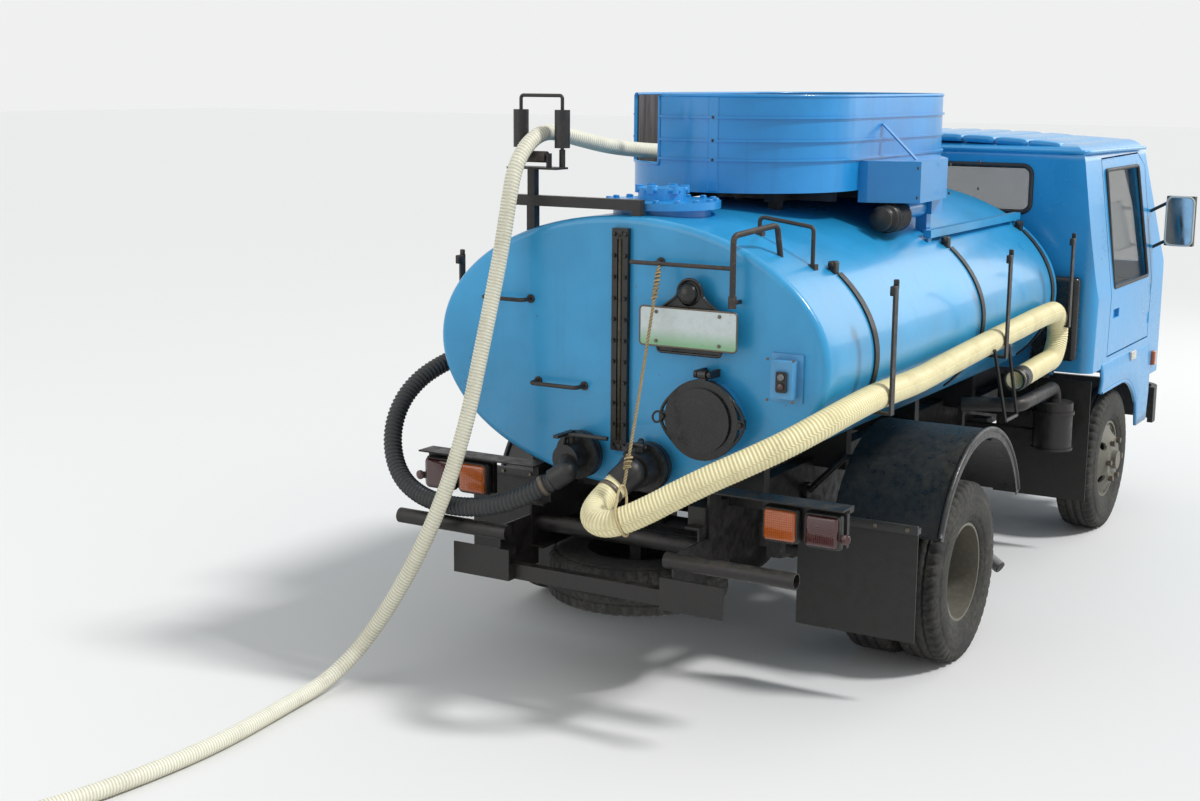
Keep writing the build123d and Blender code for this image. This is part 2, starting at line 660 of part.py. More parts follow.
# Roller guide: an arm from the manhole, a post, and the cage that holds the three rollers
GUIDE_X = HEAD_X + 45.0
GUIDE_Y = 430.0
GUIDE_REACH = 515.0
GUIDE_FOOT_Y = -38.0
GUIDE_ARM_Z = TANK_TOP + 39.0
ROLLER_GAP = 190.0
ROLLER_R = 30.0
ROLLER_PIN_R = 7.0
ROLLER_LOW_Z = GUIDE_ARM_Z + 200.0
ROLLER_HIGH_Z = ROLLER_LOW_Z + 145.0
LOW_ROLLER_R = 22.0
LOW_ROLLER_Z = GUIDE_ARM_Z + 167.0
GUIDE_TOP_Z = ROLLER_HIGH_Z + 32.0
ROLLER_END = 6.0
ROLLER_BACK = 60.0          # the standing rollers are ahead of the lying one
with BuildPart() as guide:
    arm_z = (GUIDE_ARM_Z - 20, GUIDE_ARM_Z + 20)
    block((GUIDE_X - 20, GUIDE_X + 20), (GUIDE_FOOT_Y - 18, GUIDE_REACH), arm_z)
    for y in (GUIDE_FOOT_Y, GUIDE_Y):
        block((GUIDE_X - 18, GUIDE_X + 18), (y - 18, y + 18), (tank_z(y) - 20, GUIDE_ARM_Z))
    extrude(tank_section(HEAD_X), amount=TANK_LENGTH, mode=Mode.SUBTRACT)
    cradle_z = LOW_ROLLER_Z - LOW_ROLLER_R - 26
    block((GUIDE_X - 16, GUIDE_X + 16), (GUIDE_Y - 16, GUIDE_Y + 16), (GUIDE_ARM_Z, cradle_z + 5))
    half = ROLLER_GAP / 2
    block(
        (GUIDE_X - 16, GUIDE_X + ROLLER_BACK + 14),
        (GUIDE_Y - half - 18, GUIDE_Y + half + 18),
        (cradle_z, cradle_z + 8),
    )
    for side in (1, -1):
        y = GUIDE_Y + side * half
        x = GUIDE_X + ROLLER_BACK
        rod((x, y, cradle_z), (x, y, GUIDE_TOP_Z), ROLLER_PIN_R)
        ear = GUIDE_Y + side * (half - 22)
        block(
            (GUIDE_X - 14, GUIDE_X + 14),
            (ear - 4, ear + 4),
            (cradle_z, LOW_ROLLER_Z + 14),
        )
        rod((x, y, cradle_z), (x, y, ROLLER_LOW_Z - ROLLER_END), ROLLER_PIN_R + 5)
    rod(
        (GUIDE_X, GUIDE_Y - half + 20, LOW_ROLLER_Z),
        (GUIDE_X, GUIDE_Y + half - 20, LOW_ROLLER_Z),
        ROLLER_PIN_R,
    )
    bent_bar(
        [
            (GUIDE_X + ROLLER_BACK, GUIDE_Y - half, GUIDE_TOP_Z - 10),
            (GUIDE_X + ROLLER_BACK, GUIDE_Y - half, GUIDE_TOP_Z + 22),
            (GUIDE_X + ROLLER_BACK, GUIDE_Y + half, GUIDE_TOP_Z + 22),
            (GUIDE_X + ROLLER_BACK, GUIDE_Y + half, GUIDE_TOP_Z - 10),
        ],
        ROLLER_PIN_R,
        12,
    )
save(guide.part, "roller_guide")

# Guide rollers, free on their pins
for name, side in (("left", 1), ("right", -1)):
    y = GUIDE_Y + side * ROLLER_GAP / 2
    x = GUIDE_X + ROLLER_BACK
    with BuildPart() as roller:
        rod((x, y, ROLLER_LOW_Z), (x, y, ROLLER_HIGH_Z), ROLLER_R)
        rod(
            (x, y, ROLLER_LOW_Z - 1),
            (x, y, ROLLER_HIGH_Z + 1),
            ROLLER_PIN_R + RUN_GAP,
            mode=Mode.SUBTRACT,
        )
    save(roller.part, f"guide_roller_{name}")

with BuildPart() as low_roller:
    reach = ROLLER_GAP / 2 - 22 - 4 - ROLLER_END
    low = (GUIDE_X, GUIDE_Y - reach, LOW_ROLLER_Z)
    high = (GUIDE_X, GUIDE_Y + reach, LOW_ROLLER_Z)
    rod(low, high, LOW_ROLLER_R)
    rod(
        (GUIDE_X, GUIDE_Y - reach - 1, LOW_ROLLER_Z),
        (GUIDE_X, GUIDE_Y + reach + 1, LOW_ROLLER_Z),
        ROLLER_PIN_R + RUN_GAP,
        mode=Mode.SUBTRACT,
    )
save(low_roller.part, "guide_roller_low")

# Level gauge: a tall sight strip in a bolted frame on the rear head
GAUGE_HALF = 34.0
GAUGE_LOW = 975.0
GAUGE_HIGH = TANK_TOP - 44.0
GAUGE_THICK = 22.0
GAUGE_SLOT = 11.0
with BuildPart() as gauge:
    block((HEAD_X - GAUGE_THICK, HEAD_X), (-GAUGE_HALF, GAUGE_HALF), (GAUGE_LOW, GAUGE_HIGH))
    block(
        (HEAD_X - GAUGE_THICK - 1, HEAD_X - GAUGE_THICK + 10),
        (-GAUGE_SLOT, GAUGE_SLOT),
        (GAUGE_LOW + 40, GAUGE_HIGH - 40),
        mode=Mode.SUBTRACT,
    )
save(gauge.part, "level_gauge")

# Hatch lid: a dished cover with two clamp ears and a hinge strap at the top
HATCH_FACE_X = HEAD_X - HATCH_COLLAR - HATCH_GAP
HATCH_HINGE_Z = HATCH_Z + HATCH_R + 30
HATCH_HINGE_X = HEAD_X - HATCH_COLLAR - 14
with BuildPart() as hatch_lid:
    rod(
        (HATCH_FACE_X, HATCH_Y, HATCH_Z),
        (HATCH_FACE_X - HATCH_LID_THICK, HATCH_Y, HATCH_Z),
        HATCH_R + 12,
    )
    rod(
        (HATCH_FACE_X - HATCH_LID_THICK, HATCH_Y, HATCH_Z),
        (HATCH_FACE_X - HATCH_LID_THICK - 12, HATCH_Y, HATCH_Z),
        HATCH_R - 18,
    )
    for side in (1, -1):
        y = HATCH_Y + side * (HATCH_R + 14)
        block(
            (HATCH_FACE_X - HATCH_LID_THICK, HATCH_FACE_X - 4),
            (y - 22, y + 22),
            (HATCH_Z - 17, HATCH_Z + 17),
        )
    block(
        (HATCH_FACE_X - HATCH_LID_THICK, HATCH_FACE_X - 4),
        (HATCH_Y - 16, HATCH_Y + 16),
        (HATCH_Z + HATCH_R - 6, HATCH_HINGE_Z),
    )
    rod(
        (HATCH_HINGE_X, HATCH_Y - 16, HATCH_HINGE_Z),
        (HATCH_HINGE_X, HATCH_Y + 16, HATCH_HINGE_Z),
        HATCH_PIN_R + 9,
    )
    rod(
        (HATCH_HINGE_X, HATCH_Y - 17, HATCH_HINGE_Z),
        (HATCH_HINGE_X, HATCH_Y + 17, HATCH_HINGE_Z),
        HATCH_PIN_R + RUN_GAP,
        mode=Mode.SUBTRACT,
    )
save(hatch_lid.part, "hatch_lid")

# Hatch hinge: two lugs on the rear head and the pin
with BuildPart() as hatch_hinge:
    for side in (1, -1):
        y = tuple(sorted((HATCH_Y + side * 22, HATCH_Y + side * 34)))
        block((HATCH_HINGE_X, HEAD_X), y, (HATCH_HINGE_Z - HATCH_LUG_R, HATCH_HINGE_Z + HATCH_LUG_R))
        rod((HATCH_HINGE_X, y[0], HATCH_HINGE_Z), (HATCH_HINGE_X, y[1], HATCH_HINGE_Z), HATCH_LUG_R)
    rod(
        (HATCH_HINGE_X, HATCH_Y - 34, HATCH_HINGE_Z),
        (HATCH_HINGE_X, HATCH_Y + 34, HATCH_HINGE_Z),
        HATCH_PIN_R,
    )
save(hatch_hinge.part, "hatch_hinge")

# Discharge valves: two flanged outlets under the gauge, each with its body, lever and turned tail
# Each valve: its place across and up, its bore, its hose's radius, and where its tail ends and points
VALVES = (
    (150.0, 950.0, 44.0, 38.0, (-225, 165, 878), (-0.30, 0.76, -0.57)),
    (-150.0, 940.0, 56.0, 50.0, (-230, -123, 902), (-0.61, 0.46, -0.65)),
)
VALVE_FLANGE_R = 92.0
VALVE_BODY_END = 165.0
VALVE_TAIL = 62.0
with BuildPart() as valves:
    for y, z, bore_r, hose_r, end, way in VALVES:
        rod((HEAD_X + 20, y, z), (HEAD_X - 60, y, z), bore_r)
        rod((HEAD_X - 36, y, z), (HEAD_X - 60, y, z), VALVE_FLANGE_R)
        rod((HEAD_X - 66, y, z), (HEAD_X - 84, y, z), VALVE_FLANGE_R)
        rod((HEAD_X - 60, y, z), (HEAD_X - VALVE_BODY_END, y, z), bore_r + 12)
        rod((HEAD_X - 120, y, z), (HEAD_X - 120, y, z + 100), 16)
        block((HEAD_X - 230, HEAD_X - 106), (y - 11, y + 11), (z + 92, z + 104))
        mouth = Vector(HEAD_X + end[0], end[1], end[2])
        root = mouth - Vector(*way).normalized() * VALVE_TAIL
        rod(root, mouth, hose_r + 5)
        rod((HEAD_X - VALVE_BODY_END + 40, y, z), root, hose_r)
        with Locations(root):
            Sphere(hose_r + 5)
    extrude(tank_section(HEAD_X), amount=TANK_LENGTH, mode=Mode.SUBTRACT)
save(valves.part, "discharge_valves")

# Switch box on a backing plate
SWITCH_Y = -690.0
SWITCH_Z = 1320.0
with BuildPart() as switch_box:
    block((HEAD_X - 8, HEAD_X), (SWITCH_Y - 62, SWITCH_Y + 62), (SWITCH_Z - 88, SWITCH_Z + 88))
    block((HEAD_X - 58, HEAD_X - 8), (SWITCH_Y - 42, SWITCH_Y + 42), (SWITCH_Z - 68, SWITCH_Z + 68))
    block((HEAD_X - 66, HEAD_X - 58), (SWITCH_Y - 22, SWITCH_Y + 22), (SWITCH_Z - 40, SWITCH_Z + 30))
save(switch_box.part, "switch_box")

# Plate bracket with the lamp dome over it
PLATE_Y = -315.0
PLATE_Z = 1475.0
PLATE_HALF = 200.0
PLATE_RISE = 72.0
DOME_R = 40.0
DOME_ROUND = 26.0
with BuildPart() as plate_bracket:
    block(
        (HEAD_X - 46, HEAD_X - 38),
        (PLATE_Y - PLATE_HALF, PLATE_Y + PLATE_HALF),
        (PLATE_Z - PLATE_RISE, PLATE_Z + PLATE_RISE),
    )
    block((HEAD_X - 40, HEAD_X), (PLATE_Y - 120, PLATE_Y + 120), (PLATE_Z - 90, PLATE_Z + 90))
    block((HEAD_X - 50, HEAD_X), (PLATE_Y - 60, PLATE_Y + 60), (PLATE_Z + 80, PLATE_Z + 150))
    rod(
        (HEAD_X - 50, PLATE_Y, PLATE_Z + 118),
        (HEAD_X - 84, PLATE_Y, PLATE_Z + 118),
        DOME_R,
    )
    dome = plate_bracket.edges().filter_by(GeomType.CIRCLE).sort_by(Axis.X)[0]
    fillet(dome, DOME_ROUND)
save(plate_bracket.part, "plate_bracket")

# Bars on the head: grab bars, hose hook, hand rail and the low frame on the tank's top
BAR_R = 8.0
BAR_OUT = 62.0
HOOK_Z = 1705.0
RAIL_Y = -492.0
ROSETTE_R = 17.0
FRAME_X = HEAD_X + 300.0
FRAME_IN = 420.0
FRAME_OUT = 640.0
FOOT_RISE = 10.0
FOOT_HALF = 16.0
with BuildPart() as head_rails:
    out = HEAD_X - BAR_OUT
    bent_bar(
        [
            (out, RAIL_Y, 1590),
            (out, RAIL_Y, 1822),
            (HEAD_X + 150, RAIL_Y - 70, 1850),
            (HEAD_X + 190, RAIL_Y - 70, tank_z(562) - 25),
        ],
        BAR_R + 3,
        24,
    )
    bent_bar(
        [
            (FRAME_X, -FRAME_OUT, tank_z(FRAME_OUT) + FOOT_RISE - 2),
            (FRAME_X, -FRAME_OUT, 1835),
            (FRAME_X, -FRAME_IN, 1865),
            (FRAME_X, -FRAME_IN, tank_z(FRAME_IN) + FOOT_RISE - 2),
        ],
        BAR_R,
        18,
    )
    for y in (FRAME_OUT, FRAME_IN):
        block(
            (FRAME_X - FOOT_HALF, FRAME_X + FOOT_HALF),
            (-y - FOOT_HALF, FOOT_HALF - y),
            (tank_z(y) - 30, tank_z(y) + FOOT_RISE),
        )
    extrude(tank_section(HEAD_X), amount=TANK_LENGTH, mode=Mode.SUBTRACT)
    rod((out, RAIL_Y, 1562), (out, RAIL_Y, 1605), BAR_R + 7)
    rod((HEAD_X, RAIL_Y, 1580), (out, RAIL_Y, 1580), BAR_R)
    for y0, y1, z in ((600, 410, 1527), (375, 165, 1207)):
        bent_bar([(HEAD_X, y0, z), (out, y0, z), (out, y1, z), (HEAD_X, y1, z)], BAR_R, 20)
        for y in (y0, y1):
            rod((HEAD_X, y, z), (HEAD_X - 6, y, z), ROSETTE_R)
    rod((HEAD_X, -165, HOOK_Z), (out, -165, HOOK_Z), BAR_R)
    rod((HEAD_X, -165, HOOK_Z), (HEAD_X - 6, -165, HOOK_Z), ROSETTE_R)
    rod((out, -70, HOOK_Z), (out, RAIL_Y, HOOK_Z), BAR_R)
save(head_rails.part, "head_rails")

# Straps over the tank's sides and the hook posts that carry the stored hoses
STRAPS = (420.0, 1650.0, TANK_LENGTH - 170.0)
STRAP_WIDTH = 40.0
STRAP_THICK = 7.0
STRAP_TOP_Y = 690.0
# Each hook post: its place ahead of the rear head, and the height of its seat
POSTS = ((300.0, 1160.0), (1640.0, 1190.0), (TANK_LENGTH - 260.0, 1210.0))
POST_Y = 968.0
POST_TOP = 1640.0
POST_WIDTH = 34.0
POST_THICK = 9.0
with BuildPart() as straps:
    for station in STRAPS:
        x = HEAD_X + station
        with BuildSketch(Plane(origin=(x, 0, TANK_Z), x_dir=(0, 1, 0), z_dir=(1, 0, 0))):
            Ellipse(TANK_HALF_WIDTH + STRAP_THICK, TANK_HALF_HEIGHT + STRAP_THICK)
            Ellipse(TANK_HALF_WIDTH, TANK_HALF_HEIGHT, mode=Mode.SUBTRACT)
            Rectangle(2 * STRAP_TOP_Y, 4 * TANK_HALF_HEIGHT, mode=Mode.SUBTRACT)
        extrude(amount=STRAP_WIDTH)
    for side in (1, -1):
        for station, seat in POSTS:
            x = HEAD_X + station
            inner = TANK_HALF_WIDTH * math.sqrt(1 - ((seat - TANK_Z) / TANK_HALF_HEIGHT) ** 2)
            block(
                (x, x + POST_WIDTH),
                tuple(sorted((side * (inner - 12), side * POST_Y))),
                (seat, seat + POST_THICK),
            )
            block(
                (x, x + POST_WIDTH),
                tuple(sorted((side * POST_Y, side * (POST_Y - POST_THICK)))),
                (seat, POST_TOP),
            )
    extrude(tank_section(HEAD_X), amount=TANK_LENGTH, mode=Mode.SUBTRACT)
save(straps.part, "straps_and_posts")

# Blue bars along the tank's shoulders on welded feet
SIDE_RAIL_Y = 640.0
SIDE_RAIL_Z = 1722.0
SIDE_RAIL_FROM = 1500.0
SIDE_RAIL_TO = TANK_LENGTH - 110.0
with BuildPart() as side_rails:
    for side in (1, -1):
        y = side * SIDE_RAIL_Y
        block(
            (HEAD_X + SIDE_RAIL_FROM, HEAD_X + SIDE_RAIL_TO),
            (y - 17, y + 17),
            (SIDE_RAIL_Z - 17, SIDE_RAIL_Z + 17),
        )
        for station in (SIDE_RAIL_FROM + 6, SIDE_RAIL_TO - 120):
            x = HEAD_X + station
            block((x, x + 40), (y - 5, y + 5), (tank_z(SIDE_RAIL_Y) - 20, SIDE_RAIL_Z))
    extrude(tank_section(HEAD_X), amount=TANK_LENGTH, mode=Mode.SUBTRACT)
save(side_rails.part, "side_rails")

# Rear bumper: two open tubes over a flat bar, with the hangers from the rails
BUMPER_TUBE_R = 30.0
BUMPER_TUBE_WALL = 4.0
BUMPER_TUBE_Z = 655.0
BUMPER_TUBE_FROM = 345.0
BUMPER_TUBE_TO = 862.0
BUMPER_BAR_LOW = 470.0
BUMPER_BAR_HIGH = 592.0
BUMPER_BAR_HALF = 588.0
BUMPER_BAR_IN = 330.0
BUMPER_BAR_THICK = 8.0
TUBE_X = REAR_X + BUMPER_TUBE_R
with BuildPart() as rear_bumper:
    for side in (1, -1):
        rod(
            (TUBE_X, side * BUMPER_TUBE_FROM, BUMPER_TUBE_Z),
            (TUBE_X, side * BUMPER_TUBE_TO, BUMPER_TUBE_Z),
            BUMPER_TUBE_R,
        )
        hang_y = side * RAIL_OUTER
        block(
            (TUBE_X - 10, RAIL_BACK_X + 60),
            tuple(sorted((hang_y, hang_y + side * 8))),
            (BUMPER_BAR_LOW, BUMPER_TUBE_Z + 25),
        )
        rod(
            (TUBE_X, side * (BUMPER_TUBE_FROM + 60), BUMPER_TUBE_Z),
            (TUBE_X, side * (BUMPER_TUBE_TO + 1), BUMPER_TUBE_Z),
            BUMPER_TUBE_R - BUMPER_TUBE_WALL,
            mode=Mode.SUBTRACT,
        )
        y = tuple(sorted((side * BUMPER_BAR_IN, side * BUMPER_BAR_HALF)))
        block((TUBE_X - 20, TUBE_X - 20 + BUMPER_BAR_THICK), y, (BUMPER_BAR_LOW, BUMPER_BAR_HIGH))
    block(
        (TUBE_X + 20, TUBE_X + 60),
        (-RAIL_OUTER - 8, RAIL_OUTER + 8),
        (BUMPER_BAR_LOW, BUMPER_BAR_LOW + 60),
    )
    block((TUBE_X - 20, TUBE_X + 30), (-380, -330), (BUMPER_BAR_LOW, BUMPER_BAR_LOW + 60))
    block((TUBE_X - 20, TUBE_X + 30), (330, 380), (BUMPER_BAR_LOW, BUMPER_BAR_LOW + 60))
save(rear_bumper.part, "rear_bumper")

# Tail lamps: a bracket, an amber and a red lens box and a round reflector on each side
LAMP_X = HEAD_X + 20.0
LAMP_Z = 778.0
AMBER_Y = 682.0
RED_Y = 848.0
LENS_HALF = 72.0
LENS_RISE = 66.0
LENS_DEEP = 46.0
with BuildPart() as lamp_bracket:
    for side in (1, -1):
        y = tuple(sorted((side * RAIL_OUTER, side * (RED_Y + 88))))
        block((LAMP_X, LAMP_X + 40), y, (LAMP_Z + 70, LAMP_Z + 92))
        block((LAMP_X - 60, LAMP_X + 40), y, (LAMP_Z + 86, LAMP_Z + 92))
        y = tuple(sorted((side * (RAIL_OUTER + 10), side * RAIL_OUTER)))
        block((LAMP_X - 20, LAMP_X + 80), y, (RAIL_TOP - 60, LAMP_Z + 92))
        y = tuple(sorted((side * (AMBER_Y - 80), side * (RED_Y + 80))))
        block((LAMP_X, LAMP_X + 22), y, (LAMP_Z - 60, LAMP_Z + 72))
save(lamp_bracket.part, "lamp_brackets")

with BuildPart() as lamps:
    for side in (1, -1):
        for y in (AMBER_Y, RED_Y):
            block(
                (LAMP_X - LENS_DEEP, LAMP_X),
                (side * y - LENS_HALF, side * y + LENS_HALF),
                (LAMP_Z - LENS_RISE, LAMP_Z + LENS_RISE),
            )
save(lamps.part, "tail_lamps")

# Mudguards: a rolled sheet over each pair of rear wheels, its stays, and the bars of the flaps
FLAP_X = REAR_AXLE_X - 608.0
FLAP_THICK = 6.0
FLAP_IN = 533.0
FLAP_OUT = 1028.0
FLAP_LOW = 245.0
FLAP_HIGH = 700.0
SPLASH_X = FRONT_AXLE_X - 556.0
FLAP_BAR = 24.0
SPLASH_IN = 500.0
SPLASH_OUT = 980.0
GUARD_X = REAR_AXLE_X + 112.0
GUARD_Z = 430.0
GUARD_R = 525.0
GUARD_THICK = 5.0
GUARD_IN = 578.0
GUARD_OUT = 1040.0
GUARD_LIP = 34.0
GUARD_FROM = 19.0
GUARD_TO = 161.0
GUARD_STAYS = (-300.0, 250.0)
with BuildPart() as mudguards:
    for side in (1, -1):
        with BuildSketch(Plane.XZ.offset(-side * GUARD_IN)) as ring:
            with BuildLine():
                first = math.radians(GUARD_FROM)
                last = math.radians(GUARD_TO)
                mid = (first + last) / 2
                inner_r = GUARD_R - GUARD_THICK
                arcs = []
                for radius in (GUARD_R, inner_r):
                    arcs.append(
                        [
                            (
                                GUARD_X + radius * math.cos(angle),
                                GUARD_Z + radius * math.sin(angle),
                            )
                            for angle in (first, mid, last)
                        ]
                    )
                ThreePointArc(*arcs[0])
                Line(arcs[0][2], arcs[1][2])
                ThreePointArc(*arcs[1])
                Line(arcs[1][0], arcs[0][0])
            make_face()
        extrude(amount=-side * (GUARD_OUT - GUARD_IN))
        with BuildSketch(Plane.XZ.offset(-side * GUARD_OUT)) as lip:
            with BuildLine():
                points = [
                    (
                        GUARD_X + radius * math.cos(angle),
                        GUARD_Z + radius * math.sin(angle),
                    )
                    for radius in (GUARD_R, GUARD_R - GUARD_LIP)
                    for angle in (first, mid, last)
                ]
                ThreePointArc(points[0], points[1], points[2])
                Line(points[2], points[5])
                ThreePointArc(points[5], points[4], points[3])
                Line(points[3], points[0])
            make_face()
        extrude(amount=side * GUARD_THICK)
        for reach in GUARD_STAYS:
            x = GUARD_X + reach
            top = GUARD_Z + math.sqrt((GUARD_R - GUARD_THICK) ** 2 - reach**2) - 11
            rail_y = side * (RAIL_OUTER + 14)
            block((x - 25, x + 25), tuple(sorted((side * RAIL_OUTER, rail_y))), (650, 710))
            rod((x, rail_y, 680), (x, side * (GUARD_IN - 30), top), 13)
            rod((x, side * (GUARD_IN - 30), top), (x, side * (GUARD_OUT - 60), top), 13)
        flap_bar = (FLAP_X + FLAP_THICK, FLAP_X + FLAP_THICK + FLAP_BAR)
        y = tuple(sorted((side * RAIL_OUTER, side * FLAP_OUT)))
        block(flap_bar, y, (FLAP_HIGH - FLAP_BAR, FLAP_HIGH))
        y = tuple(sorted((side * RAIL_OUTER, side * (SPLASH_IN + 60))))
        block((SPLASH_X - FLAP_BAR, SPLASH_X), y, (RAIL_TOP - 60, RAIL_TOP - 10))
save(mudguards.part, "mudguards")

# Mud flaps: behind the rear wheels, and the splash panels behind the front wheels
with BuildPart() as mudflaps:
    for side in (1, -1):
        y = tuple(sorted((side * FLAP_IN, side * FLAP_OUT)))
        block((FLAP_X, FLAP_X + FLAP_THICK), y, (FLAP_LOW, FLAP_HIGH))
        y = tuple(sorted((side * SPLASH_IN, side * SPLASH_OUT)))
        block((SPLASH_X, SPLASH_X + FLAP_THICK), y, (260, 880))
save(mudflaps.part, "mudflaps")

# Spare wheel, laid flat under the tail on its carrier
SPARE_X = HEAD_X + 250.0
SPARE_Z = 430.0
SPARE_R = 360.0
with BuildPart() as spare:
    with Locations((SPARE_X, 60, SPARE_Z)):
        Cylinder(SPARE_R, 190)
    fillet(spare.edges().filter_by(GeomType.CIRCLE), 50)
    with Locations((SPARE_X, 60, SPARE_Z)):
        Cylinder(RIM_SEAT_R, 200, mode=Mode.SUBTRACT)
    with Locations((SPARE_X, 60, SPARE_Z)):
        Cylinder(RIM_SEAT_R + 2, 14)
    block((SPARE_X - 25, SPARE_X + 25), (35, 85), (SPARE_Z, RAIL_BOTTOM + 60))
    block((SPARE_X - 30, SPARE_X + 30), (8 - RAIL_OUTER, RAIL_OUTER - 8), (RAIL_BOTTOM + 8, RAIL_BOTTOM + 62))
save(spare.part, "spare_wheel")

# Engine and gearbox, closed in, as one plain block under the cab
ENGINE_TOP = 905.0
ENGINE_BOTTOM = 430.0
ENGINE_HALF = 270.0
ENGINE_BACK_X = FRONT_AXLE_X - 430.0
ENGINE_FRONT_X = FRONT_AXLE_X + 480.0
with BuildPart() as engine:
    block((ENGINE_BACK_X, ENGINE_FRONT_X), (-ENGINE_HALF, ENGINE_HALF), (ENGINE_BOTTOM + 90, ENGINE_TOP))
    block((GEARBOX_BACK_X, ENGINE_BACK_X + 10), (-150, 150), (ENGINE_BOTTOM + 60, ENGINE_TOP - 180))
    for x in (ENGINE_BACK_X + 120, ENGINE_FRONT_X - 120):
        block(
            (x - 30, x + 30),
            (RAIL_WEB - RAIL_OUTER, RAIL_OUTER - RAIL_WEB),
            (RAIL_TOP - RAIL_WEB - 60, RAIL_TOP - RAIL_WEB),
        )
save(engine.part, "engine_block")

# Fuel tank on the left rail, between the axles
FUEL_LENGTH = 560.0
FUEL_BACK_X = REAR_AXLE_X + 720.0
FUEL_DEEP = 390.0
FUEL_HIGH = 340.0
FUEL_TOP = 720.0
with BuildPart() as fuel:
    block(
        (FUEL_BACK_X, FUEL_BACK_X + FUEL_LENGTH),
        (RAIL_OUTER + 40, RAIL_OUTER + 40 + FUEL_DEEP),
        (FUEL_TOP - FUEL_HIGH, FUEL_TOP),
    )
    fillet(fuel.edges().filter_by(Axis.X), 50)
    fillet(fuel.edges().filter_by(GeomType.LINE, reverse=False).filter_by(Axis.Y), 12)
    for share in (0.2, 0.8):
        x = FUEL_BACK_X + share * FUEL_LENGTH
        block((x - 25, x + 25), (RAIL_OUTER, RAIL_OUTER + 60), (FUEL_TOP - 190, FUEL_TOP - 30))
    rod(
        (FUEL_BACK_X + 120, RAIL_OUTER + FUEL_DEEP - 40, FUEL_TOP - 10),
        (FUEL_BACK_X + 120, RAIL_OUTER + FUEL_DEEP - 20, FUEL_TOP + 50),
        32,
    )
save(fuel.part, "fuel_tank")

# Vacuum line: the moisture trap behind the cab, its elbow and pipe, and the air reservoir
TRAP_X = TANK_FRONT_X - 20.0
TRAP_Y = -850.0
TRAP_R = 96.0
TRAP_LOW = 560.0
TRAP_HIGH = 800.0
PIPE_R = 34.0
RESERVOIR_X = TANK_FRONT_X - 440.0
RESERVOIR_Y = -600.0
RESERVOIR_R = 130.0
with BuildPart() as vacuum:
    rod((TRAP_X, TRAP_Y, TRAP_LOW), (TRAP_X, TRAP_Y, TRAP_HIGH), TRAP_R)
    rod((TRAP_X, TRAP_Y, TRAP_HIGH - 60), (TRAP_X, TRAP_Y, TRAP_HIGH - 44), TRAP_R + 8)
    rod((TRAP_X, TRAP_Y, TRAP_LOW), (TRAP_X, TRAP_Y, TRAP_LOW + 12), TRAP_R + 6)
    bent_bar(
        [
            (TRAP_X, TRAP_Y, TRAP_HIGH - 10),
            (TRAP_X, TRAP_Y, TRAP_HIGH + 72),
            (TRAP_X - 560, TRAP_Y, TRAP_HIGH + 72),
            (TRAP_X - 640, TRAP_Y + 260, TRAP_HIGH + 60),
        ],
        PIPE_R,
        60,
    )
    block(
        (TRAP_X - 30, TRAP_X + 30),
        (TRAP_Y + TRAP_R - 12, -RAIL_OUTER),
        (RAIL_BOTTOM + 40, RAIL_BOTTOM + 100),
    )
    block((TRAP_X - 658, TRAP_X - 622), (TRAP_Y + 246, -RAIL_OUTER), (690, 714))
    block((TRAP_X - 658, TRAP_X - 622), (TRAP_Y + 246, TRAP_Y + 270), (690, TRAP_HIGH + 50))
    rod(
        (RESERVOIR_X, RESERVOIR_Y - 130, 560),
        (RESERVOIR_X, RESERVOIR_Y + 160, 560),
        RESERVOIR_R,
    )
    fillet(vacuum.edges().filter_by(GeomType.CIRCLE).group_by(Axis.Z)[0], 4)
    block(
        (RESERVOIR_X - 30, RESERVOIR_X + 30),
        (RESERVOIR_Y + 150, -RAIL_OUTER),
        (600, 680),
    )
save(vacuum.part, "vacuum_line")

# Exhaust: silencer inside the right rail and the tail pipe out ahead of the rear wheels
EXHAUST_R = 26.0
SILENCER_R = 90.0
SILENCER_Y = -210.0
SILENCER_Z = 480.0
SILENCER_FRONT_X = FRONT_AXLE_X - 900.0
SILENCER_BACK_X = REAR_AXLE_X + 1000.0
with BuildPart() as exhaust:
    rod(
        (SILENCER_FRONT_X, SILENCER_Y, SILENCER_Z),
        (SILENCER_BACK_X, SILENCER_Y, SILENCER_Z),
        SILENCER_R,
    )
    bent_bar(
        [
            (SILENCER_BACK_X + 10, SILENCER_Y, SILENCER_Z),
            (REAR_AXLE_X + 760, SILENCER_Y, SILENCER_Z),
            (REAR_AXLE_X + 640, -420, 400),
            (REAR_AXLE_X + 560, -880, 330),
            (REAR_AXLE_X + 530, -1000, 262),
        ],
        EXHAUST_R,
        60,
    )
    for x in (SILENCER_FRONT_X - 100, SILENCER_BACK_X + 100):
        block((x - 12, x + 12), (-RAIL_OUTER + 10, -230), (RAIL_BOTTOM - 12, RAIL_BOTTOM))
save(exhaust.part, "exhaust")

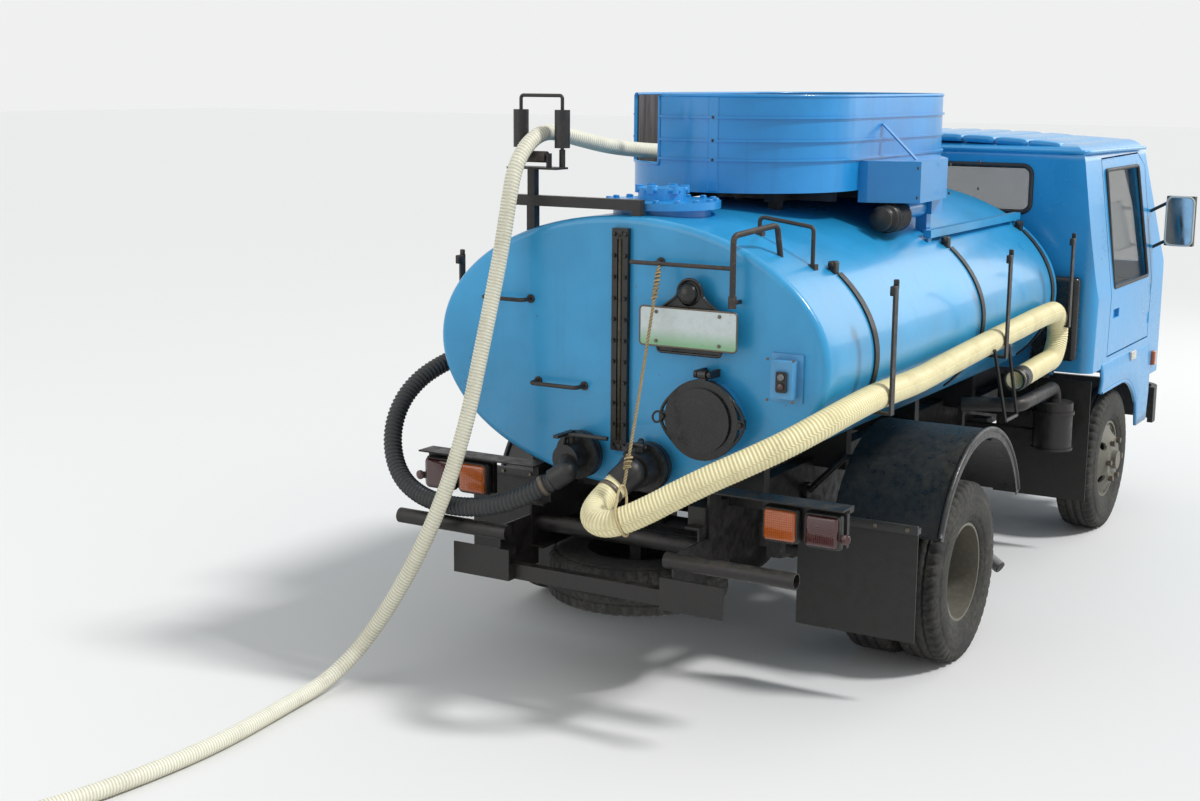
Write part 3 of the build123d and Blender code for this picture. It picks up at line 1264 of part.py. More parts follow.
# Front bumper: a pressed bar with wrapped ends, on stays from the rails
BUMPER_LOW = 450.0
BUMPER_HIGH = 655.0          # under the cab's front edge when it tilts
BUMPER_DEEP = 30.0
BUMPER_END = 200.0
BUMPER_ROUND = 150.0
with BuildPart() as front_bumper:
    with BuildSketch(Plane.XY.offset(BUMPER_LOW)):
        for inset, mode in ((0.0, Mode.ADD), (BUMPER_DEEP, Mode.SUBTRACT)):
            half = CAB_HALF_WIDTH - inset
            face = FRONT_X - inset
            corner = BUMPER_ROUND - inset
            slant = corner * (1 - math.sqrt(0.5))
            with BuildLine():
                back = FRONT_X - BUMPER_END
                Polyline((face - corner, half), (back, half), (back, -half), (face - corner, -half))
                ThreePointArc(
                    (face - corner, -half), (face - slant, slant - half), (face, corner - half)
                )
                Line((face, corner - half), (face, half - corner))
                ThreePointArc(
                    (face, half - corner), (face - slant, half - slant), (face - corner, half)
                )
            make_face(mode=mode)
    extrude(amount=BUMPER_HIGH - BUMPER_LOW)
    for side in (1, -1):
        y = tuple(sorted((side * RAIL_OUTER, side * (RAIL_OUTER - 12))))
        block((RAIL_FRONT_X, FRONT_X - BUMPER_DEEP + 2), y, (RAIL_BOTTOM + 10, RAIL_BOTTOM + 70))
save(front_bumper.part, "front_bumper")


# Cab: the outer form is one side view cut by one front view
def cab_volume(inset):
    """Solid of the cab's form, drawn in by the inset on every side."""
    back = CAB_BACK_X + inset
    front = CAB_FRONT_X - inset
    roof = CAB_ROOF_Z - inset
    crown = CAB_CROWN_Z - inset
    sill = CAB_SILL_Z + inset
    floor = CAB_FLOOR_Z + inset
    step = CAB_STEP_X + inset
    screen = SCREEN_TOP_X - inset * SCREEN_SLANT
    half = CAB_HALF_WIDTH - inset
    roof_half = CAB_ROOF_HALF - inset
    with BuildPart() as form:
        with BuildSketch(Plane.XZ):
            with BuildLine():
                Line((back, floor), (back, roof - 60))
                ThreePointArc((back, roof - 60), (back + 16, roof - 16), (back + 70, roof + 10))
                ThreePointArc(
                    (back + 70, roof + 10), ((back + screen) / 2, crown), (screen - 60, roof + 20)
                )
                ThreePointArc(
                    (screen - 60, roof + 20), (screen - 10, roof - 8), (screen + 24, roof - 70)
                )
                Line((screen + 24, roof - 70), (front - 66, CAB_BELT_Z + 20))
                ThreePointArc(
                    (front - 66, CAB_BELT_Z + 20), (front - 30, CAB_BELT_Z - 70), (front, sill)
                )
                Line((front, sill), (step, sill))
                Line((step, sill), (step, floor))
                Line((step, floor), (back, floor))
            make_face()
        extrude(amount=CAB_HALF_WIDTH + 10, both=True)
        with BuildSketch(Plane.YZ.offset(CAB_BACK_X - 10)):
            with BuildLine():
                low = CAB_SILL_Z - 5
                Line((8 - half, low), (half - 8, low))
                Line((half - 8, low), (half, CAB_BELT_Z))
                Line((half, CAB_BELT_Z), (roof_half, roof - 70))
                ThreePointArc(
                    (roof_half, roof - 70), (roof_half - 26, roof - 12), (roof_half - 110, roof + 16)
                )
                ThreePointArc(
                    (roof_half - 110, roof + 16), (0, crown + 1), (110 - roof_half, roof + 16)
                )
                ThreePointArc(
                    (110 - roof_half, roof + 16), (26 - roof_half, roof - 12), (-roof_half, roof - 70)
                )
                Line((-roof_half, roof - 70), (-half, CAB_BELT_Z))
                Line((-half, CAB_BELT_Z), (8 - half, low))
            make_face()
        extrude(amount=FRONT_X - CAB_BACK_X, mode=Mode.INTERSECT)
        with BuildSketch(Plane.XY.offset(CAB_SILL_Z - 10)) as plan:
            with Locations(((back + front) / 2, 0)):
                Rectangle(front - back, 2 * half + 2)
            fillet(plan.vertices().group_by(Axis.X)[0], CAB_BACK_ROUND - inset)
            fillet(plan.vertices().group_by(Axis.X)[-1], CAB_FRONT_ROUND - inset)
        extrude(amount=CAB_CROWN_Z - CAB_SILL_Z + 30, mode=Mode.INTERSECT)
    return form.part


def side_prism(points, near, far):
    """Prism through the cab's side, from an outline in the side view."""
    with BuildPart() as prism:
        with BuildSketch(Plane.XZ.offset(-near)):
            with BuildLine():
                Polyline(*points, close=True)
            make_face()
        extrude(amount=near - far)
    return prism.part


def door_outline(grow):
    """Outline of the door in the side view, grown on every side."""
    return [
        (DOOR_BACK_X - grow, DOOR_BOTTOM_Z - grow),
        (DOOR_BACK_X - grow, DOOR_TOP_Z - 6 + grow),
        (SCREEN_TOP_X - 150, DOOR_TOP_Z + grow),
        (SCREEN_TOP_X - 20 + grow, DOOR_TOP_Z - 70),
        (DOOR_FRONT_X + grow, CAB_BELT_Z + 40),
        (DOOR_FRONT_X + grow, DOOR_BOTTOM_Z - grow),
    ]


WINDOW_FRAME = 62.0
WINDOW_LOW = CAB_BELT_Z + 30.0


def window_outline():
    """Outline of the door's window in the side view."""
    return [
        (DOOR_BACK_X + WINDOW_FRAME, WINDOW_LOW),
        (DOOR_BACK_X + WINDOW_FRAME, DOOR_TOP_Z - WINDOW_FRAME),
        (SCREEN_TOP_X - 185, DOOR_TOP_Z - WINDOW_FRAME),
        (DOOR_FRONT_X - WINDOW_FRAME - 16, WINDOW_LOW + 40),
        (DOOR_FRONT_X - WINDOW_FRAME - 16, WINDOW_LOW),
    ]


outer_form = cab_volume(0)
inner_form = cab_volume(CAB_WALL)
glass_outer = cab_volume(GLASS_INSET)
glass_inner = cab_volume(GLASS_INSET + GLASS)
SIDE_NEAR = CAB_ROOF_HALF - 120.0
SIDE_FAR = CAB_HALF_WIDTH + 60.0

# Rear window and windscreen
REAR_WINDOW_HALF = 640.0
REAR_WINDOW_LOW = 1725.0
REAR_WINDOW_HIGH = 1955.0
REAR_WINDOW_ROUND = 45.0
SCREEN_HALF_LOW = 900.0
SCREEN_HALF_HIGH = 790.0
SCREEN_LOW = CAB_BELT_Z + 70.0
SCREEN_HIGH = CAB_ROOF_Z - 110.0
with BuildPart() as rear_window_cut:
    with BuildSketch(Plane.YZ.offset(CAB_BACK_X - 20)):
        with Locations((0, (REAR_WINDOW_LOW + REAR_WINDOW_HIGH) / 2)):
            RectangleRounded(
                2 * REAR_WINDOW_HALF, REAR_WINDOW_HIGH - REAR_WINDOW_LOW, REAR_WINDOW_ROUND
            )
    extrude(amount=CAB_WALL + 40)
with BuildPart() as screen_cut:
    with BuildSketch(Plane.YZ.offset(SCREEN_TOP_X - 120)) as screen:
        with BuildLine():
            Polyline(
                (-SCREEN_HALF_LOW, SCREEN_LOW),
                (SCREEN_HALF_LOW, SCREEN_LOW),
                (SCREEN_HALF_HIGH, SCREEN_HIGH),
                (-SCREEN_HALF_HIGH, SCREEN_HIGH),
                close=True,
            )
        make_face()
        fillet(screen.vertices(), 50)
    extrude(amount=FRONT_X - SCREEN_TOP_X + 200)

# Cab shell
with BuildPart() as cab:
    add(outer_form)
    add(inner_form, mode=Mode.SUBTRACT)
    for side in (1, -1):
        add(side_prism(door_outline(DOOR_GAP), side * SIDE_NEAR, side * SIDE_FAR), mode=Mode.SUBTRACT)
    add(rear_window_cut.part, mode=Mode.SUBTRACT)
    add(screen_cut.part, mode=Mode.SUBTRACT)
    for side in (1, -1):
        lug = (side * (RAIL_OUTER + 7), side * (RAIL_OUTER + 23))
        ear = PIVOT_R + 12
        block((PIVOT_X - ear, PIVOT_X + ear), tuple(sorted(lug)), (PIVOT_Z, CAB_SILL_Z + 10))
        rod((PIVOT_X, lug[0], PIVOT_Z), (PIVOT_X, lug[1], PIVOT_Z), ear)
        rod(
            (PIVOT_X, lug[0] - side, PIVOT_Z),
            (PIVOT_X, lug[1] + side, PIVOT_Z),
            PIVOT_R + RUN_GAP,
            mode=Mode.SUBTRACT,
        )
save(cab.part, "cab_shell")

with BuildPart() as cab_glass:
    add(glass_outer)
    add(glass_inner, mode=Mode.SUBTRACT)
    with BuildPart(mode=Mode.PRIVATE) as openings:
        add(rear_window_cut.part)
        add(screen_cut.part)
    add(openings.part, mode=Mode.INTERSECT)
save(cab_glass.part, "cab_glass")

# Doors with their glass and a recessed grip
for name, side in (("left", 1), ("right", -1)):
    prism = side_prism(door_outline(0), side * SIDE_NEAR, side * SIDE_FAR)
    window = side_prism(window_outline(), side * SIDE_NEAR, side * SIDE_FAR)
    with BuildPart() as door:
        add(outer_form)
        add(inner_form, mode=Mode.SUBTRACT)
        add(prism, mode=Mode.INTERSECT)
        add(window, mode=Mode.SUBTRACT)
        block(
            (DOOR_BACK_X + 60, DOOR_BACK_X + 175),
            tuple(sorted((side * (CAB_HALF_WIDTH - 22), side * SIDE_FAR))),
            (1172, 1218),
            mode=Mode.SUBTRACT,
        )
        for z in HINGE_HEIGHTS:
            rod((HINGE_X, side * HINGE_Y, z), (HINGE_X, side * HINGE_Y, z + HINGE_HEIGHT), HINGE_R)
    save(door.part, f"door_{name}")
    with BuildPart() as pane:
        add(glass_outer)
        add(glass_inner, mode=Mode.SUBTRACT)
        add(window, mode=Mode.INTERSECT)
    save(pane.part, f"door_glass_{name}")

# Front panel: grille bars and head lamps in a recessed strip
with BuildPart() as cab_front:
    for z in (1010, 1062, 1114, 1166):
        block((CAB_FRONT_X - 60, CAB_FRONT_X + 2), (-560, 560), (z - 10, z + 10))
    for side in (1, -1):
        y = tuple(sorted((side * 560, side * 580)))
        block((CAB_FRONT_X - 60, CAB_FRONT_X + 2), y, (985, 1190))
        y = tuple(sorted((side * 620, side * 860)))
        block((CAB_FRONT_X - 80, CAB_FRONT_X + 10), y, (880, 1050))
    add(outer_form, mode=Mode.SUBTRACT)
save(cab_front.part, "cab_front")

# Mirrors on tube arms from the front pillars
MIRROR_X = FRONT_AXLE_X + 560.0
MIRROR_Y = 1120.0
MIRROR_LOW = 1490.0
MIRROR_HIGH = 1760.0
with BuildPart() as mirrors:
    for side in (1, -1):
        block(
            (MIRROR_X - 25, MIRROR_X + 25),
            tuple(sorted((side * (MIRROR_Y - 75), side * (MIRROR_Y + 75)))),
            (MIRROR_LOW, MIRROR_HIGH),
        )
        for z in (MIRROR_LOW + 30, MIRROR_HIGH - 30):
            rod(
                (MIRROR_X, side * (MIRROR_Y - 60), z),
                (MIRROR_X + 46, side * (CAB_HALF_WIDTH - 50), z - 60),
                9,
            )
    add(outer_form, mode=Mode.SUBTRACT)
save(mirrors.part, "mirrors")

# Inside the cab: bench and back, dash, steering column and wheel
SEAT_BACK_X = CAB_BACK_X + CAB_WALL
FLOOR_TOP = CAB_FLOOR_Z + CAB_WALL
FOOT_TOP = CAB_SILL_Z + CAB_WALL
WHEEL_CENTRE = (CAB_STEP_X + 30, 420.0, 1345.0)
with BuildPart() as interior:
    for y in ((180, 700), (-700, 120)):
        block((SEAT_BACK_X + 190, SEAT_BACK_X + 660), y, (FLOOR_TOP, FLOOR_TOP + 190))
        block((SEAT_BACK_X + 110, SEAT_BACK_X + 230), y, (FLOOR_TOP, FLOOR_TOP + 720))
    block((CAB_STEP_X + 190, CAB_FRONT_X - 110), (-840, 840), (FOOT_TOP, 1270))
    rod((CAB_STEP_X + 200, 420, 1120), WHEEL_CENTRE, 24)
    axis = Vector(*WHEEL_CENTRE) - Vector(CAB_STEP_X + 200, 420, 1120)
    with BuildSketch(Plane(origin=WHEEL_CENTRE, z_dir=axis)) as hub:
        Circle(32)
        Rectangle(390, 30)
    extrude(hub.sketch, amount=14)
    with BuildSketch(Plane(origin=WHEEL_CENTRE, z_dir=axis)) as wheel_ring:
        Circle(210)
        Circle(188, mode=Mode.SUBTRACT)
    extrude(wheel_ring.sketch, amount=22)
save(interior.part, "cab_interior")

# Air intake box behind the cab on the right
INTAKE_FRONT_X = CAB_BACK_X - 22.0
INTAKE_BACK_X = INTAKE_FRONT_X - 66.0
with BuildPart() as intake:
    block((INTAKE_BACK_X, INTAKE_FRONT_X), (-930, -700), (1000, 1420))
    fillet(intake.edges(), 24)
    leg = (INTAKE_BACK_X + 8, INTAKE_FRONT_X - 8)
    block(leg, (-738, -702), (RAIL_TOP, 1010))
    block(leg, (-738, -RAIL_OUTER + 20), (RAIL_TOP, RAIL_TOP + 40))
save(intake.part, "air_intake")


# Hoses and rope
def corner_radii(points):
    """Largest arc at each corner of a route that its two runs allow."""
    radii = []
    for before, corner, after in zip(points, points[1:], points[2:]):
        first = Vector(*corner) - Vector(*before)
        second = Vector(*after) - Vector(*corner)
        turn = math.radians(first.get_angle(second))
        radii.append(0.45 * min(first.length, second.length) / math.tan(turn / 2))
    return radii


def cord(name, radius, route):
    """Write one hose or rope as a plain tube along its route, given from the rear head."""
    points = [(HEAD_X + x, y, z) for x, y, z in route]
    radii = corner_radii(points)
    with BuildPart() as tube:
        with BuildLine():
            path = FilletPolyline(*points, radius=radii)
        with BuildSketch(Plane(origin=path @ 0, z_dir=path % 0)):
            Circle(radius)
        sweep(path=path)
    length = path.length
    fill = tube.part.volume / (math.pi * radius**2 * length)
    print(name, "length", round(length), "fill", round(fill, 4), "radii", [round(r) for r in radii])
    save(tube.part, name)


# White hose: from the coil, out through the notch, over the lying roller and down to the ground
WHITE_R = 31.5
WHITE_ROUTE = (
    (1330, 352, 2056),
    (1120, 350, 2062),
    (900, 346, 2074),
    (700, 346, 2090),
    (500, 372, 2112),
    (320, 404, 2140),
    (166, 424, 2168),
    (42, 436, 2166),
    (-62, 446, 2090),
    (-112, 456, 1960),
    (-140, 470, 1790),
    (-175, 482, 1590),
    (-215, 500, 1350),
    (-262, 525, 1100),
    (-322, 568, 860),
    (-378, 634, 640),
    (-415, 735, 430),
    (-440, 850, 245),
    (-500, 930, 115),
    (-640, 965, 42),
    (-840, 950, 36),
    (-1060, 925, 33),
    (-1300, 905, 33),
    (-1560, 915, 33),
    (-1830, 950, 33),
    (-2080, 1010, 33),
    (-2300, 1080, 33),
)
cord("white_hose", WHITE_R, WHITE_ROUTE)

# The rest of the white hose, coiled in the basin
COIL_R = 425.0
COIL_BORE = 262.0
COIL_HIGH = 112.0
with BuildPart() as coil:
    with BuildSketch(Plane.XY.offset(BASIN_FLOOR_Z + BASIN_WALL)):
        with Locations((BASIN_X, 0)):
            SlotCenterToCenter(2 * BASIN_HALF, 2 * COIL_R)
            SlotCenterToCenter(2 * BASIN_HALF, 2 * COIL_BORE, mode=Mode.SUBTRACT)
    extrude(amount=COIL_HIGH)
save(coil.part, "hose_coil")

# Black hose: from the left valve, in a loop beside the tank and along its left side
BLACK_R = 38.0
BLACK_ROUTE = (
    (-225, 165, 878),
    (-247, 240, 826),
    (-264, 330, 782),
    (-272, 435, 748),
    (-272, 550, 731),
    (-266, 665, 730),
    (-248, 778, 746),
    (-220, 882, 790),
    (-178, 958, 866),
    (-122, 1004, 966),
    (-48, 1014, 1066),
    (44, 994, 1146),
    (152, 954, 1200),
    (276, 917, 1230),
    (420, 904, 1240),
    (620, 906, 1232),
    (880, 907, 1226),
    (1200, 905, 1232),
    (1520, 907, 1242),
    (1840, 905, 1248),
    (2160, 907, 1254),
    (2450, 905, 1262),
    (2720, 905, 1268),
)
cord("black_hose", BLACK_R, BLACK_ROUTE)

# Cream hose: from the right valve, a tight turn, up to the right side, folded back at its end
CREAM_R = 50.0
CREAM_ROUTE = (
    (-230, -123, 902),
    (-271, -92, 849),
    (-298, -101, 781),
    (-360, -130, 739),
    (-428, -173, 748),
    (-474, -214, 806),
    (-469, -285, 856),
    (-391, -396, 890),
    (-325, -505, 958),
    (-264, -635, 1031),
    (-185, -748, 1111),
    (-85, -848, 1178),
    (75, -903, 1215),
    (260, -908, 1227),
    (470, -905, 1224),
    (740, -907, 1222),
    (1060, -905, 1238),
    (1380, -907, 1254),
    (1700, -905, 1266),
    (2010, -907, 1277),
    (2290, -905, 1286),
    (2524, -906, 1290),
    (2660, -905, 1288),
    (2728, -904, 1171),
    (2660, -903, 1054),
    (2525, -902, 1053),
    (2310, -903, 1044),
    (2110, -902, 1040),
)
cord("cream_hose", CREAM_R, CREAM_ROUTE)

# Rope from the hook bar to the turn of the cream hose
ROPE_R = 6.0
ROPE_ROUTE = (
    (-BAR_OUT - 8, -196, HOOK_Z - 6),
    (-150, -197, 1440),
    (-238, -199, 1160),
    (-345, -215, 930),
)
cord("rope", ROPE_R, ROPE_ROUTE)
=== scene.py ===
import math

import bmesh
import bpy
import numpy as np
from mathutils import Matrix, Vector


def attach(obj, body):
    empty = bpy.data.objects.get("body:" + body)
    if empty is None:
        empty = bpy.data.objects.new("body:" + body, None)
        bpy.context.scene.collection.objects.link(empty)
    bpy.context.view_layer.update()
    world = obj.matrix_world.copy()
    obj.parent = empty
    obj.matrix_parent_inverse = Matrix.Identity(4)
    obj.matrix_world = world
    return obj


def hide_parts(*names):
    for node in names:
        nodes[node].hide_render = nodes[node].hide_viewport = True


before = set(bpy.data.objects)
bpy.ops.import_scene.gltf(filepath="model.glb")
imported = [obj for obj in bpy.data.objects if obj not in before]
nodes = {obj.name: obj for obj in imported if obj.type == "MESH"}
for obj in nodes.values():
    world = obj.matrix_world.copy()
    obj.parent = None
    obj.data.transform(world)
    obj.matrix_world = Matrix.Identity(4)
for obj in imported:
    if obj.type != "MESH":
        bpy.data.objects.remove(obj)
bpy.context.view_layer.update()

# Driving dimensions, in metres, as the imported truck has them
HEAD_X = -2.129
REAR_AXLE_X = -1.041
FRONT_AXLE_X = 1.459
AXLE_Z = 0.377
TWIN_OUTER_Y = 0.927
TWIN_INNER_Y = 0.695
FRONT_WHEEL_Y = 0.860
TANK_Z = 1.348
TANK_HALF_WIDTH = 0.848
TANK_HALF_HEIGHT = 0.518
BASIN_X = HEAD_X + 1.520
BASIN_HALF = 0.470
WELD = 1e-5
SIDES = (("left", 1), ("right", -1))


# Meshes from arrays
def make_piece(name, points, faces, body, material, smooth=True):
    """Put an array of points and a list of faces into one mesh that rides on a body."""
    mesh = bpy.data.meshes.new(name)
    mesh.from_pydata(np.asarray(points).reshape(-1, 3).tolist(), [], faces)
    mesh.update()
    mesh.polygons.foreach_set("use_smooth", np.full(len(mesh.polygons), smooth))
    piece = bpy.data.objects.new(name, mesh)
    bpy.context.scene.collection.objects.link(piece)
    mesh.materials.append(material)
    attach(piece, body)
    return piece


def closed_piece(name, points, faces, body, material, smooth=True):
    """A piece with its doubled points merged and every face turned outwards."""
    piece = make_piece(name, points, faces, body, material, smooth)
    work = bmesh.new()
    work.from_mesh(piece.data)
    bmesh.ops.remove_doubles(work, verts=work.verts, dist=WELD)
    bmesh.ops.recalc_face_normals(work, faces=work.faces)
    work.to_mesh(piece.data)
    work.free()
    piece.data.update()
    return piece


def grid_faces(rows, columns, wrap_rows=False, wrap_columns=False, first=0):
    """Quads between neighbouring points of a rows by columns grid, closed on itself where asked."""
    row = np.arange(rows if wrap_rows else rows - 1)
    column = np.arange(columns if wrap_columns else columns - 1)
    a, b = np.meshgrid(row, column, indexing="ij")
    next_a = (a + 1) % rows
    next_b = (b + 1) % columns
    quads = np.stack(
        [a * columns + b, next_a * columns + b, next_a * columns + next_b, a * columns + next_b],
        axis=-1,
    )
    return (quads.reshape(-1, 4) + first).tolist()


def capped_faces(rows, columns):
    """The quads of a tube's rows, with one flat face at each end."""
    faces = grid_faces(rows, columns, wrap_columns=True)
    faces.append(list(range(columns)))
    faces.append([(rows - 1) * columns + k for k in range(columns)])
    return faces


def run_along(path):
    """Metres from the path's start at each of its points."""
    return np.r_[0.0, np.cumsum(np.linalg.norm(np.diff(path, axis=0), axis=1))]


def square_to(axis):
    """The axis at unit length, and two unit directions square to it."""
    axis = np.asarray(axis, float) / np.linalg.norm(axis)
    side = np.cross(axis, (0.0, 0.0, 1.0) if abs(axis[2]) < 0.9 else (1.0, 0.0, 0.0))
    side /= np.linalg.norm(side)
    return axis, side, np.cross(axis, side)


def frames_along(path):
    """Unit tangent and two unit normals at each point; each normal is the last one less its part
    along the new tangent, so the section doesn't twist."""
    step = np.gradient(path, axis=0)
    tangent = step / np.linalg.norm(step, axis=1)[:, None]
    start = np.cross(tangent[0], (0.0, 0.0, 1.0))
    if np.linalg.norm(start) < 1e-3:
        start = np.array((1.0, 0.0, 0.0))
    normal = [start / np.linalg.norm(start)]
    for direction in tangent[1:]:
        turned = normal[-1] - direction * (normal[-1] @ direction)
        normal.append(turned / np.linalg.norm(turned))
    normal = np.array(normal)
    return tangent, normal, np.cross(tangent, normal)


def sweep(path, radius, around, twist=0.0):
    """Points of a tube: centre + r(s, a) * (cos(a + twist s) n + sin(a + twist s) b), for s along
    the path and a around it."""
    tangent, normal, binormal = frames_along(path)
    turn = twist * run_along(path)[:, None]
    angle = np.linspace(0, 2 * math.pi, around, endpoint=False)[None, :] + turn
    spread = np.broadcast_to(radius, angle.shape)
    return (
        path[:, None]
        + (spread * np.cos(angle))[..., None] * normal[:, None]
        + (spread * np.sin(angle))[..., None] * binormal[:, None]
    )


def closed_tube(name, path, radius, around, body, material, twist=0.0, smooth=True):
    """A swept tube with a flat fan at each end, faces outwards, and a UV map in metres along and
    turns around."""
    points = sweep(path, radius, around, twist)
    count = len(path)
    faces = [quad[::-1] for quad in grid_faces(count, around, wrap_columns=True)]
    first = list(range(around))
    last = [(count - 1) * around + k for k in range(around)]
    faces.append(first)
    faces.append(last[::-1])
    piece = make_piece(name, points, faces, body, material, smooth)
    along_around(piece, run_along(path), around)
    return piece


def along_around(piece, run, around):
    """Give each corner of a tube's faces its metres along and its turn around as UV."""
    mesh = piece.data
    corner = np.empty(len(mesh.loops), np.int64)
    mesh.loops.foreach_get("vertex_index", corner)
    uv = np.stack([run[corner // around], (corner % around) / around], axis=1)
    layer = mesh.uv_layers.new(name="along")
    layer.uv.foreach_set("vector", uv.astype(np.float32).ravel())


def turned(name, profile, centre, axis, around, body, material, smooth=True):
    """A profile of (distance along the axis, radius) carried once round the axis. Points of radius
    zero fall together and are merged."""
    axis, side, other = square_to(axis)
    along, radius = np.asarray(profile, float).T
    angle = np.linspace(0, 2 * math.pi, around, endpoint=False)
    ring = np.cos(angle)[:, None] * side + np.sin(angle)[:, None] * other
    points = (
        np.asarray(centre, float)
        + along[:, None, None] * axis
        + radius[:, None, None] * ring[None]
    )
    faces = grid_faces(len(along), around, wrap_columns=True)
    return closed_piece(name, points, faces, body, material, smooth)


def rounded_box(name, low, high, corner, body, material, steps=4):
    """A box with round edges: corner centre + radius times the unit direction of each octant, the
    directions taken in rows of latitude and columns of longitude, each octant's own."""
    low, high = np.minimum(low, high), np.maximum(low, high)
    middle = (low + high) / 2
    reach = (high - low) / 2 - corner
    rise = np.linspace(0, math.pi / 2, steps + 1)
    latitude = np.r_[rise - math.pi / 2, rise]
    up = np.r_[-np.ones(steps + 1), np.ones(steps + 1)]
    longitude = np.concatenate([rise + quarter * math.pi / 2 for quarter in range(4)])
    east = np.repeat((1.0, -1.0, -1.0, 1.0), steps + 1)
    north = np.repeat((1.0, 1.0, -1.0, -1.0), steps + 1)
    across = np.cos(latitude)[:, None]
    points = np.stack(
        [
            middle[0] + reach[0] * east + corner * across * np.cos(longitude),
            middle[1] + reach[1] * north + corner * across * np.sin(longitude),
            middle[2] + (reach[2] * up + corner * np.sin(latitude))[:, None] + 0 * longitude,
        ],
        axis=-1,
    )
    faces = capped_faces(len(latitude), len(longitude))
    return closed_piece(name, points, faces, body, material)


def slab(name, outline, low, high, axis, body, material, edge=0.002, smooth=False):
    """A flat shape pulled along one axis from low to high, its rim drawn in by the edge at both
    faces: centre + (outline - centre) * share."""
    outline = np.asarray(outline, float)
    middle = outline.mean(axis=0)
    size = np.abs(outline - middle).max(axis=0)
    small = middle + (outline - middle) * (1 - edge / size)
    levels = ((low, small), (low + edge, outline), (high - edge, outline), (high, small))
    plane = [k for k in range(3) if k != axis]
    points = np.empty((4, len(outline), 3))
    for row, (level, flat) in enumerate(levels):
        points[row, :, axis] = level
        points[row][:, plane] = flat
    return closed_piece(name, points, capped_faces(4, len(outline)), body, material, smooth)


def round_rectangle(low, high, corner, steps=6):
    """Points of a rectangle with round corners, once round."""
    quarter = np.linspace(0, math.pi / 2, steps + 1)
    angle = np.concatenate([quarter + k * math.pi / 2 for k in range(4)])
    x = np.repeat((high[0] - corner, low[0] + corner, low[0] + corner, high[0] - corner), steps + 1)
    y = np.repeat((high[1] - corner, high[1] - corner, low[1] + corner, low[1] + corner), steps + 1)
    return np.stack([x + corner * np.cos(angle), y + corner * np.sin(angle)], axis=1)


def stand_at(x, outline):
    """A flat outline of (y, z) set at one distance along the truck."""
    return np.column_stack([np.full(len(outline), x), outline])


def loop_tube(name, path, radius, around, body, material):
    """A tube along a closed line: centre + r (cos a * u + sin a * v), u and v square to the line."""
    path = np.asarray(path, float)
    ahead = np.roll(path, -1, axis=0) - np.roll(path, 1, axis=0)
    tangent = ahead / np.linalg.norm(ahead, axis=1)[:, None]
    flat = np.linalg.svd(path - path.mean(axis=0))[2][2]
    side = np.cross(tangent, flat)
    side /= np.linalg.norm(side, axis=1)[:, None]
    angle = np.linspace(0, 2 * math.pi, around, endpoint=False)
    points = (
        path[:, None]
        + radius * np.cos(angle)[None, :, None] * side[:, None]
        + radius * np.sin(angle)[None, :, None] * np.cross(side, tangent)[:, None]
    )
    return closed_piece(
        name, points, grid_faces(len(path), around, True, True), body, material
    )


def bent(name, points, radius, body, material, around=10):
    """A round bar that follows a smooth line through its points' corners."""
    line, _ = even(spline_points(name + "_line", points, 8), max(0.006, radius))
    return closed_tube(name, line, radius, around, body, material)


def hex_bolts(name, centres, axis, size, tall, body, material):
    """Six-sided heads in one mesh: each is a profile of (height, radius) at six angles about its
    centre, closed by a small flat top."""
    axis, side, other = square_to(axis)
    rise = np.array((-0.1, 0.85, 1.0)) * tall
    width = np.array((1.0, 1.0, 0.86)) * size
    angle = np.arange(6) * math.pi / 3
    ring = np.cos(angle)[:, None] * side + np.sin(angle)[:, None] * other
    one = rise[:, None, None] * axis + width[:, None, None] * ring[None]
    points = np.asarray(centres, float)[:, None, None, :] + one[None]
    faces = []
    for count in range(len(points)):
        first = count * 3 * 6
        faces += grid_faces(3, 6, wrap_columns=True, first=first)
        faces.append([first + k for k in range(6)])
        faces.append([first + 12 + k for k in range(6)])
    return closed_piece(name, points, faces, body, material, False)


# Shaders
def fill(tree, sockets, values):
    """Link or set each socket by its value."""
    for socket, value in zip(sockets, values):
        if isinstance(value, bpy.types.NodeSocket):
            tree.links.new(value, socket)
        else:
            socket.default_value = value


def wire(tree, kind, inputs=None, **settings):
    """Add one shader node, with each input either linked or set."""
    made = tree.nodes.new(kind)
    for key, value in settings.items():
        setattr(made, key, value)
    inputs = inputs or {}
    fill(tree, [made.inputs[key] for key in inputs], inputs.values())
    return made


def surface(tree, shader, colour, rough):
    """Give the main shader its colour and roughness."""
    fill(tree, (shader.inputs["Base Color"], shader.inputs["Roughness"]), (colour, rough))


def tinted(colour, gain, lift=0.0):
    """A linear colour made paler or deeper."""
    return tuple(min(1.0, c * gain + lift) for c in colour[:3]) + (1.0,)


def linear(colour):
    """A display colour of three bytes as linear light."""
    value = np.asarray(colour, float) / 255
    low = value / 12.92
    high = ((value + 0.055) / 1.055) ** 2.4
    return (*np.where(value <= 0.04045, low, high).tolist(), 1.0)


def blank(name):
    """A new material with its tree and its main shader."""
    made = bpy.data.materials.new(name)
    made.use_nodes = True
    tree = made.node_tree
    return made, tree, tree.nodes["Principled BSDF"]


def place(tree, scale=(1, 1, 1), turn=(0, 0, 0)):
    """The piece's own coordinates, in metres, stretched and turned."""
    own = wire(tree, "ShaderNodeTexCoord")
    return wire(
        tree,
        "ShaderNodeMapping",
        {"Vector": own.outputs["Object"], "Scale": scale, "Rotation": turn},
    ).outputs["Vector"]


def speckle(tree, vector, scale, detail=4.0, rough=0.55):
    """Noise from 0 to 1."""
    return wire(
        tree,
        "ShaderNodeTexNoise",
        {"Vector": vector, "Scale": scale, "Detail": detail, "Roughness": rough},
    ).outputs["Fac"]


